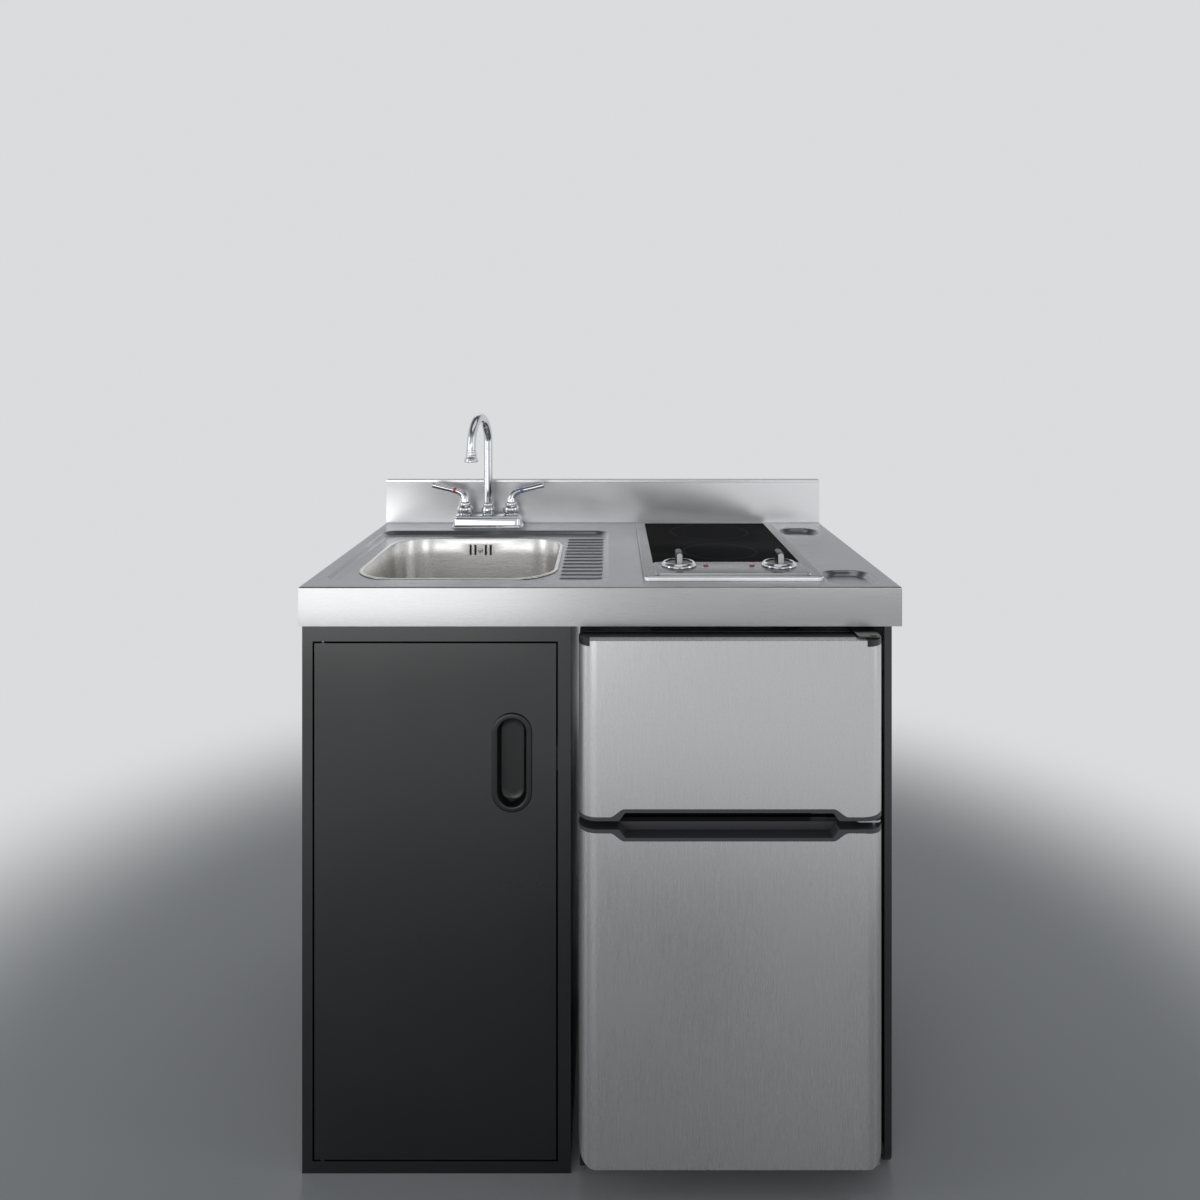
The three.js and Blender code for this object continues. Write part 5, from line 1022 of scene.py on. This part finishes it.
zone_offset = 98 * MM
black_glass = ringed_glass("black_glass", [
    ((glass_middle[0], glass_middle[1] + zone_offset, glass_hi.z), (82 * MM, 79 * MM)),
    ((glass_middle[0], glass_middle[1] - zone_offset, glass_hi.z), (70 * MM, 67 * MM)),
])
new_object("hob_glass_dressed", skin("hob_glass_dressed", [
    round_ring(glass_middle, glass_half, 3 * MM, inset * MM, z, 8) for inset, z in (
        (0.5, glass_lo.z), (0, glass_lo.z + 0.5 * MM), (0, glass_hi.z - 0.8 * MM),
        (0.2, glass_hi.z - 0.3 * MM), (0.8, glass_hi.z))
], sharp=60), black_glass, "unit", ["hob_glass"])
dressed("hob_casing", "unit", zinc, 0.8 * MM)
fibre = surface("pressed_fibre", (0.70, 0.66, 0.58), 0.95, grain=260, depth=0.0006, mottle=0.12, cloud=60)
for zone in ("front_element", "rear_element"):
    low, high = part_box(zone)
    new_object(zone + "_dressed", turned(zone + "_dressed", raised(low.z, (0, 0), (22, 0)) + raised(
        high.z, (22, -30), (76, -30), (82, -24), (82, 0), (72, 0), (70, -12), (0, -12),
    ), plan_of(low, high)[0], 56, soft=1.5 * MM), fibre, "unit", [zone])

knob_black = surface("knob_black", (0.007, 0.007, 0.0075), 0.34, grain=1500, depth=0.00003)
insert_grey = surface("insert_grey", (0.72, 0.72, 0.73), 0.33, grain=1200, depth=0.00002)
red_lens = surface("red_lens", (0.58, 0.025, 0.025), 0.12, mottle=0.15, cloud=200)
red_lens.node_tree.nodes["Principled BSDF"].inputs["Coat Weight"].default_value = 0.8
for side in ("left", "right"):
    low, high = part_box(f"{side}_bezel")
    at_knob = plan_of(low, high)[0]
    foot = low.z
    new_object(f"{side}_bezel_dressed", turned(f"{side}_bezel_dressed", raised(
        foot, (23.5, 0), (30.5, 0), (30.5, 1.5), (29.7, 3.3), (27.9, 5.3), (26, 6.7), (24.6, 7), (23.7, 6.3),
        (23.5, 5),
    ), at_knob, 72, sharp=50, soft=0.5 * MM), chrome, "unit", [f"{side}_bezel"])
    skirt = turned("skirt", raised(foot, (0, 0), (22, 0), (22, 3.6), (20.4, 5), (0, 5)),
                   at_knob, 64, soft=0.8 * MM)
    blade = skin("blade", [
        round_ring(at_knob, (6 * MM, 20 * MM), 6 * MM, inset * MM, foot + z * MM, 8) for inset, z in (
            (-0.2, 4), (0, 5.6), (0.3, 8), (0.5, 21), (0.9, 23), (1.8, 24.3), (3.2, 24.9), (4.6, 25))], sharp=60)
    spindle_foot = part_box(f"{side}_knob")[0].z
    spindle = turned("spindle", raised(spindle_foot, (0, 0), (3, 0)) + raised(foot, (3, 1), (0, 1)),
                     at_knob, 24, soft=0.3 * MM)
    new_object(f"{side}_knob_dressed", merged([skirt, blade, spindle]), knob_black, f"{side}_knob",
               [f"{side}_knob"])
    # A pale pointer with a round top is let into the blade's front end.
    pointer_half, pointer_low = 4.6 * MM, foot + 5.6 * MM
    outline = [
        (pointer_half * math.cos(a), foot + 19.6 * MM + pointer_half * math.sin(a))
        for a in (math.pi * k / 12 for k in range(13))
    ] + [(-pointer_half, pointer_low), (pointer_half, pointer_low)]
    centre_z = foot + 14 * MM
    pointer = skin("pointer", [
        [(at_knob[0] + x * f, at_knob[1] - y * MM, centre_z + (z - centre_z) * f) for x, z in outline]
        for y, f in ((17, 1.0), (20, 1.0), (20.5, 0.95), (20.7, 0.85))], sharp=50)
    new_object(f"{side}_pointer", pointer, insert_grey, f"{side}_knob", [f"{side}_knob"])
    dressed(f"{side}_regulator", "unit", grey_plastic, 1 * MM)
    low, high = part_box(f"{side}_lamp")
    new_object(f"{side}_lamp_dressed", turned(
        f"{side}_lamp_dressed", raised(low.z, (0, 0), (4, 0)) + raised(
            plate_top, (4, 0.3), (5, 0.3), (4.9, 0.9), (3.9, 1.5), (2, 1.9), (0, 2)),
        plan_of(low, high)[0], 40, sharp=60,
    ), red_lens, "unit", [f"{side}_lamp"])


# ---------------------------------------------------------------- cabinet
# A welded sheet-steel box with a folded front frame, powder coated satin black, like its door,
# back, side panel and rear rail. The door turns on two pins and is pulled by a moulded cup.
black_coat = surface("black_powder_coat", (0.006, 0.006, 0.0065), 0.24, grain=420, depth=0.00006,
                     mottle=0.08, cloud=4)
black_coat.node_tree.nodes["Principled BSDF"].inputs["Specular IOR Level"].default_value = 0.8
for panel, body, fold in (
    ("cabinet_shell", "unit", 1.0), ("cabinet_back", "unit", 0.4), ("cabinet_door", "cabinet_door", 1.1),
    ("support_panel", "unit", 0.8), ("rear_rail", "unit", 0.5),
):
    dressed(panel, body, black_coat, fold * MM)
dressed("magnetic_catch", "unit", grey_plastic, 0.8 * MM)
for pivot in ("upper_pivot", "lower_pivot"):
    dressed(pivot, "unit", zinc, 0.3 * MM)

pull_black = surface("pull_black", (0.006, 0.006, 0.0065), 0.27, grain=1100, depth=0.00005)
pull_lo, pull_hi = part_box("cup_pull")
pull_middle = ((pull_lo.x + pull_hi.x) / 2, (pull_lo.z + pull_hi.z) / 2)
pull_half = ((pull_hi.x - pull_lo.x) / 2, (pull_hi.z - pull_lo.z) / 2)


def pull_ring(inset, back):
    """A ring of the cup, set in from its outline and back from the front of its rim."""
    flat = round_ring(pull_middle, pull_half, pull_half[0] * 0.999, inset * MM, 0, 16)
    return [(x, pull_lo.y + back * MM, z) for x, z, _ in flat]


cup = skin("cup_pull_dressed", [pull_ring(inset, back) for inset, back in (
    (24, 19.6), (17, 19.4), (13.6, 18), (11.4, 14), (10.3, 8), (9.7, 3), (9.4, 1.4), (8.7, 0.5), (7.6, 0.05),
    (6.6, 0), (3, 0), (1.4, 0.2), (0.4, 0.8), (0, 1.7), (0, 2), (7.9, 2), (7.9, 8), (8.6, 15), (12, 21.4),
    (17, 22), (24, 22))], sharp=70)
new_object("cup_pull_dressed", cup, pull_black, "cabinet_door", ["cup_pull"])


# ----------------------------------------------------------- fridge doors
# Each door is a brushed steel wrap with round upright edges, closed by a dark moulded grip
# along the gap. Together the grips form a wide finger pocket; a black cap closes the top.
door_lo, door_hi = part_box("fridge_door")
upper_lo, upper_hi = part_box("freezer_door")
door_x = (door_lo.x + door_hi.x) / 2
door_half = (door_hi.x - door_lo.x) / 2
door_left, door_right = door_x - door_half, door_x + door_half
door_front, door_back = door_lo.y, door_hi.y
edge_round, door_sheet, seat = 30 * MM, 1.5 * MM, 0.3 * MM
lower_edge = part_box("fridge_grip")[1].z
upper_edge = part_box("freezer_grip")[0].z
hinge_at = (door_right - 14 * MM, door_front + 20 * MM)
pocket_left, pocket_right = door_left + 61 * MM, door_right - 70 * MM


def prism(outline, low, high, upright=False):
    """A closed slab of an outline; an upright one is given in x and z and runs along y."""
    return skin("slab", [[(a, c, b) if upright else (a, b, c) for a, b in outline] for c in (low, high)])


def door_plan(inset, back=None):
    """The door seen from above: a flat face between two round edges."""
    back = door_back if back is None else back
    r = edge_round - inset
    half = door_half - inset
    points = [(door_x - half, back)]
    for side in (-1, 1):
        for step in range(17):
            angle = math.pi / 2 * step / 16
            turn = angle if side < 0 else math.pi / 2 - angle
            points.append((door_x + side * (half - r + r * math.cos(turn)),
                           door_front + inset + r - r * math.sin(turn)))
    return points + [(door_x + half, back)]


def grip_edge(edge, up, extra):
    """The line from left to right where the grip meets the steel, widened round the pocket."""
    line, slope, near, cap_width = [], 12 * MM, 14 * MM, 29 * MM
    low, widened, at_hinge = 5.7 * MM, 12.6 * MM, 3.2 * MM
    for x in stops(door_left - MM, door_right + MM, 20 * MM, [
        (pocket_left - near, pocket_left + near, 1.5 * MM),
        (pocket_right - near, pocket_right + near, 1.5 * MM),
    ]):
        rise = (smooth_step((x - pocket_left + slope) / (2 * slope))
                * smooth_step((pocket_right + slope - x) / (2 * slope)))
        end = smooth_step((x - door_right + cap_width) / cap_width)
        line.append((float(x), edge + up * float(low + widened * rise + at_hinge * end + extra)))
    return line


def common(mesh, other, name):
    """What the two meshes share."""
    return without(mesh, other, name, "INTERSECT")


def slab(x0, x1, y0, y1, low, high):
    """A plain block."""
    return prism([(x0, y0), (x1, y0), (x1, y1), (x0, y1)], low, high)


door_steel = brushed_steel("door_steel", (0.62, 0.62, 0.625), 0.27, 1100, along=(0, 0, 1), scratch=0.003)
door_steel.node_tree.nodes["Principled BSDF"].inputs["Metallic"].default_value = 0.8
flange = 14 * MM  # the wrap's folded edge round the liner
corner_radius = 24 * MM  # of the lower door's bottom corners, seen from the front
cap_left, cap_right, cap_drop, cap_front = 18 * MM, 29 * MM, 9.3 * MM, 20 * MM
for name, edge, up, low, high in (
    ("fridge_door", lower_edge, -1, door_lo.z, door_hi.z),
    ("freezer_door", upper_edge, 1, upper_lo.z, upper_hi.z),
):
    far = high if up > 0 else low
    shape = prism(
        grip_edge(edge, up, seat) + [(door_right + MM, far + up * MM), (door_left - MM, far + up * MM)],
        door_front - MM, door_back + MM, upright=True,
    )
    wrap = prism(door_plan(0), low - (0 if up < 0 else 2 * MM), high + (2 * MM if up < 0 else 0))
    wrap = common(wrap, shape, name)
    inner = prism(door_plan(door_sheet, door_back - door_sheet), low - 5 * MM, high + 5 * MM)
    mouth_low = low - 5 * MM
    if up < 0:
        cut_corners = []
        for inset in (0, door_sheet):
            outline = round_ring((door_x, low + 0.4), (door_half, 0.4), corner_radius, inset, 0, 12)
            cut_corners.append(prism([(x, z) for x, z, _ in outline],
                                     door_front - MM, door_back + MM, upright=True))
        wrap = common(wrap, cut_corners[0], name)
        inner = common(inner, cut_corners[1], name)
        mouth_low = low + flange
    wrap = without(wrap, inner, name)
    mouth = slab(door_left + flange, door_right - flange, door_back - 3 * MM, door_back + 3 * MM,
                 mouth_low, high + 5 * MM)
    wrap = without(wrap, mouth, name + "_dressed")
    if up > 0:
        # The top cap's room: the sheet folds over the middle of the top edge only.
        for x0, x1, y0, y1 in (
            (door_left - MM, door_left + cap_left, door_front - MM, door_back + MM),
            (door_right - cap_right, door_right + MM, door_front - MM, door_back + MM),
            (door_left, door_right, door_front + cap_front, door_back + MM),
        ):
            wrap = without(wrap, slab(x0, x1, y0, y1, high - cap_drop, high + MM), name + "_dressed")
        wrap = merged([wrap, slab(
            door_left + cap_left, door_right - cap_right, door_front + 0.8 * MM, door_front + cap_front,
            high - door_sheet, high,
        )])
    tidy_up(wrap)
    rounded(new_object(name + "_dressed", wrap, door_steel, name, [name]), 0.35 * MM)

grip_plastic = surface("grip_plastic", (0.055, 0.055, 0.065), 0.38, grain=1300, depth=0.00005)
for name, edge, up, rider in (
    ("fridge_grip", lower_edge, -1, "fridge_door"), ("freezer_grip", upper_edge, 1, "freezer_door"),
):
    shape = prism(grip_edge(edge, up, 0) + [(door_right + MM, edge), (door_left - MM, edge)],
                  door_front - MM, door_back + MM, upright=True)
    reach = edge + up * 40 * MM
    bar = common(prism(door_plan(0), min(edge, reach), max(edge, reach)), shape, name)
    lip_left, lip_right = pocket_left + 1.4 * MM, pocket_right - 1.4 * MM
    lip_slope, lip_height = 13 * MM, 13.1 * MM
    lips = []
    for x in stops(lip_left + MM, lip_right - MM, 20 * MM, [
        (pocket_left, pocket_left + 16 * MM, 1.2 * MM), (pocket_right - 16 * MM, pocket_right, 1.2 * MM),
    ]):
        rise = smooth_step((x - lip_left) / lip_slope) * smooth_step((lip_right - x) / lip_slope)
        lips.append((float(x), edge + up * float(lip_height * rise)))
    pocket = prism([(lip_left + MM, edge - up * MM)] + lips + [(lip_right - MM, edge - up * MM)],
                   door_front - MM, door_front + 26 * MM, upright=True)
    bar = without(bar, pocket, name)
    # The hinge's pin turns in a socket moulded behind the grip.
    hole = turned("hole", raised(edge, (0, -up), (3.8, -up), (3.8, up * 17), (0, up * 17)), hinge_at, 24)
    bar = without(bar, hole, name + "_dressed")
    socket = turned("socket", raised(edge, (3.8, up), (7.5, up), (7.5, up * 21), (3.8, up * 21)),
                    hinge_at, 24)
    bar = merged([bar, socket])
    tidy_up(bar)
    rounded(new_object(name + "_dressed", bar, grip_plastic, rider, [name]), 0.5 * MM)
cap_black = surface("cap_black", (0.008, 0.008, 0.009), 0.34, grain=1300, depth=0.00004)
dressed("freezer_top_cap", "freezer_door", cap_black, 0.8 * MM)

white_plastic = surface("white_plastic", (0.80, 0.81, 0.80), 0.24, grain=300, depth=0.00005, mottle=0.03)
rubber = surface("grey_rubber", (0.28, 0.28, 0.29), 0.62, grain=800, depth=0.00012, mottle=0.1)
for rider in ("freezer_door", "fridge_door"):
    dressed(f"{rider}_liner", rider, white_plastic, 1.2 * MM, 3)
    dressed(rider.replace("door", "gasket"), rider, rubber, 1.6 * MM, 3)


# ------------------------------------------------------------ fridge case
# The case is folded black steel round two white tubs, on four feet. A black hinge on top and
# two plated ones carry the doors. Wire shelves lie on moulded ledges, and a compressor stands
# in a bay at the back.
dressed("fridge_case", "unit", black_coat, 0.5 * MM)
for tub in ("fresh_liner", "freezer_liner"):
    dressed(tub, "unit", white_plastic, 1.1 * MM, 3)
dressed("top_hinge", "unit", black_coat, 0.4 * MM)
for hinge in ("middle_hinge", "bottom_hinge"):
    dressed(hinge, "unit", zinc, 0.4 * MM)

shelf_wire, shelf_rod, wire_count = 1.3 * MM, 3 * MM, 27
shelf_tree = bpy.data.node_groups.new("wire shelf", "GeometryNodeTree")
shelf_inputs = {
    label: shelf_tree.interface.new_socket(label, in_out="INPUT", socket_type="NodeSocket" + kind)
    for label, kind in (("Width", "Float"), ("Length", "Float"), ("Wire radius", "Float"), ("Wires", "Int"))
}
shelf_tree.interface.new_socket("Geometry", in_out="OUTPUT", socket_type="NodeSocketGeometry")
n, link = shelf_tree.nodes, shelf_tree.links
entry, leave = n.new("NodeGroupInput"), n.new("NodeGroupOutput")
row = n.new("GeometryNodeMeshLine")
row.mode = "END_POINTS"
link.new(entry.outputs["Wires"], row.inputs["Count"])
for share, socket in ((-0.5, "Start Location"), (0.5, "Offset")):
    place_x = n.new("ShaderNodeMath")
    place_x.operation = "MULTIPLY"
    place_x.inputs[1].default_value = share
    link.new(entry.outputs["Width"], place_x.inputs[0])
    spot = n.new("ShaderNodeCombineXYZ")
    link.new(place_x.outputs[0], spot.inputs["X"])
    link.new(spot.outputs[0], row.inputs[socket])
rod = n.new("GeometryNodeMeshCylinder")
rod.inputs["Vertices"].default_value = 10
link.new(entry.outputs["Wire radius"], rod.inputs["Radius"])
link.new(entry.outputs["Length"], rod.inputs["Depth"])
lay = n.new("GeometryNodeTransform")
lay.inputs["Rotation"].default_value = (math.pi / 2, 0, 0)
link.new(rod.outputs["Mesh"], lay.inputs["Geometry"])
stand = n.new("GeometryNodeInstanceOnPoints")
link.new(row.outputs["Mesh"], stand.inputs["Points"])
link.new(lay.outputs["Geometry"], stand.inputs["Instance"])
real = n.new("GeometryNodeRealizeInstances")
link.new(stand.outputs["Instances"], real.inputs["Geometry"])
paint = n.new("GeometryNodeSetMaterial")
paint.inputs["Material"].default_value = chrome
link.new(real.outputs["Geometry"], paint.inputs["Geometry"])
link.new(paint.outputs["Geometry"], leave.inputs["Geometry"])
for shelf in ("lower_shelf", "upper_shelf"):
    low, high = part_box(shelf)
    middle, half = plan_of(low, high)
    wires = grown(bpy.data.meshes.new("seed"), shelf_tree, {
        shelf_inputs["Width"]: high.x - low.x - 4 * shelf_rod,
        shelf_inputs["Length"]: high.y - low.y - 2 * MM,
        shelf_inputs["Wire radius"]: shelf_wire, shelf_inputs["Wires"]: wire_count,
    })
    wires.transform(Matrix.Translation((middle[0], middle[1], high.z - shelf_wire)))
    # The outer rod runs round the wires' ends.
    loop = [Vector(p) for p in round_ring(
        middle, (half[0] - shelf_rod, half[1] - shelf_rod), 10 * MM, 0, low.z + shelf_rod, 6)]
    rings = []
    for i, p in enumerate(loop):
        ahead = (loop[(i + 1) % len(loop)] - loop[i - 1]).normalized()
        out = ahead.cross(Vector((0, 0, 1)))
        rings.append([p + out * shelf_rod * math.cos(a) + Vector((0, 0, shelf_rod * math.sin(a)))
                      for a in (2 * math.pi * k / 12 for k in range(12))])
    shelf_mesh = merged([skin("rim", rings, closed=True), wires])
    tidy_up(shelf_mesh)
    new_object(shelf + "_dressed", shelf_mesh, chrome, "unit", [shelf])

dial_lo, dial_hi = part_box("thermostat_knob")
dial_middle = ((dial_lo.y + dial_hi.y) / 2, (dial_lo.z + dial_hi.z) / 2)
dial = turned("dial", mm((0, 0), (16.5, 0), (18, 2), (18, 14), (0, 14)), soft=0.8 * MM)
dial_grip = skin("dial_grip", [round_ring((0, 0), (15 * MM, 3 * MM), 2.9 * MM, inset * MM, z * MM, 5)
                               for inset, z in ((0, 1), (0, -2.6), (0.6, -3.6), (1.4, -4))])
stem = turned("stem", mm((0, 13), (4, 13), (4, 16.6), (0, 16.6)))
dial = merged([dial, dial_grip, stem])
dial_place = Matrix.Translation((dial_lo.x + 4 * MM, dial_middle[0], dial_middle[1]))
dial.transform(dial_place @ Matrix.Rotation(math.pi / 2, 4, "Y"))
tidy_up(dial)
new_object("thermostat_dressed", dial, grey_plastic, "thermostat_knob", ["thermostat_knob"])

motor_lo, motor_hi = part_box("compressor")
motor_middle = plan_of(motor_lo, motor_hi)[0]
motor = turned("compressor_dressed", raised(
    motor_lo.z, (0, 14), (43, 14), (52, 20), (56, 28), (56, 62), (60, 64), (60, 72), (56, 74), (56, 108),
    (52, 124), (43, 137), (24, 146), (0, 150),
), motor_middle, 72, soft=3 * MM, sharp=60)
foot_plate = prism([(x, y) for x, y, _ in round_ring(motor_middle, (84 * MM, 43 * MM), 10 * MM, 0, 0, 6)],
                   motor_lo.z + 10 * MM, motor_lo.z + 15 * MM)
motor_feet = [turned(
    "foot", raised(motor_lo.z, (0, 0), (9, 0), (7.6, 5), (9, 10.5), (0, 10.5)),
    (motor_middle[0] + i * 74 * MM, motor_middle[1] + j * 31 * MM), 24, soft=1 * MM,
) for i in (-1, 1) for j in (-1, 1)]
new_object("compressor_dressed", merged([motor, foot_plate] + motor_feet), black_coat, "unit",
           ["compressor"])
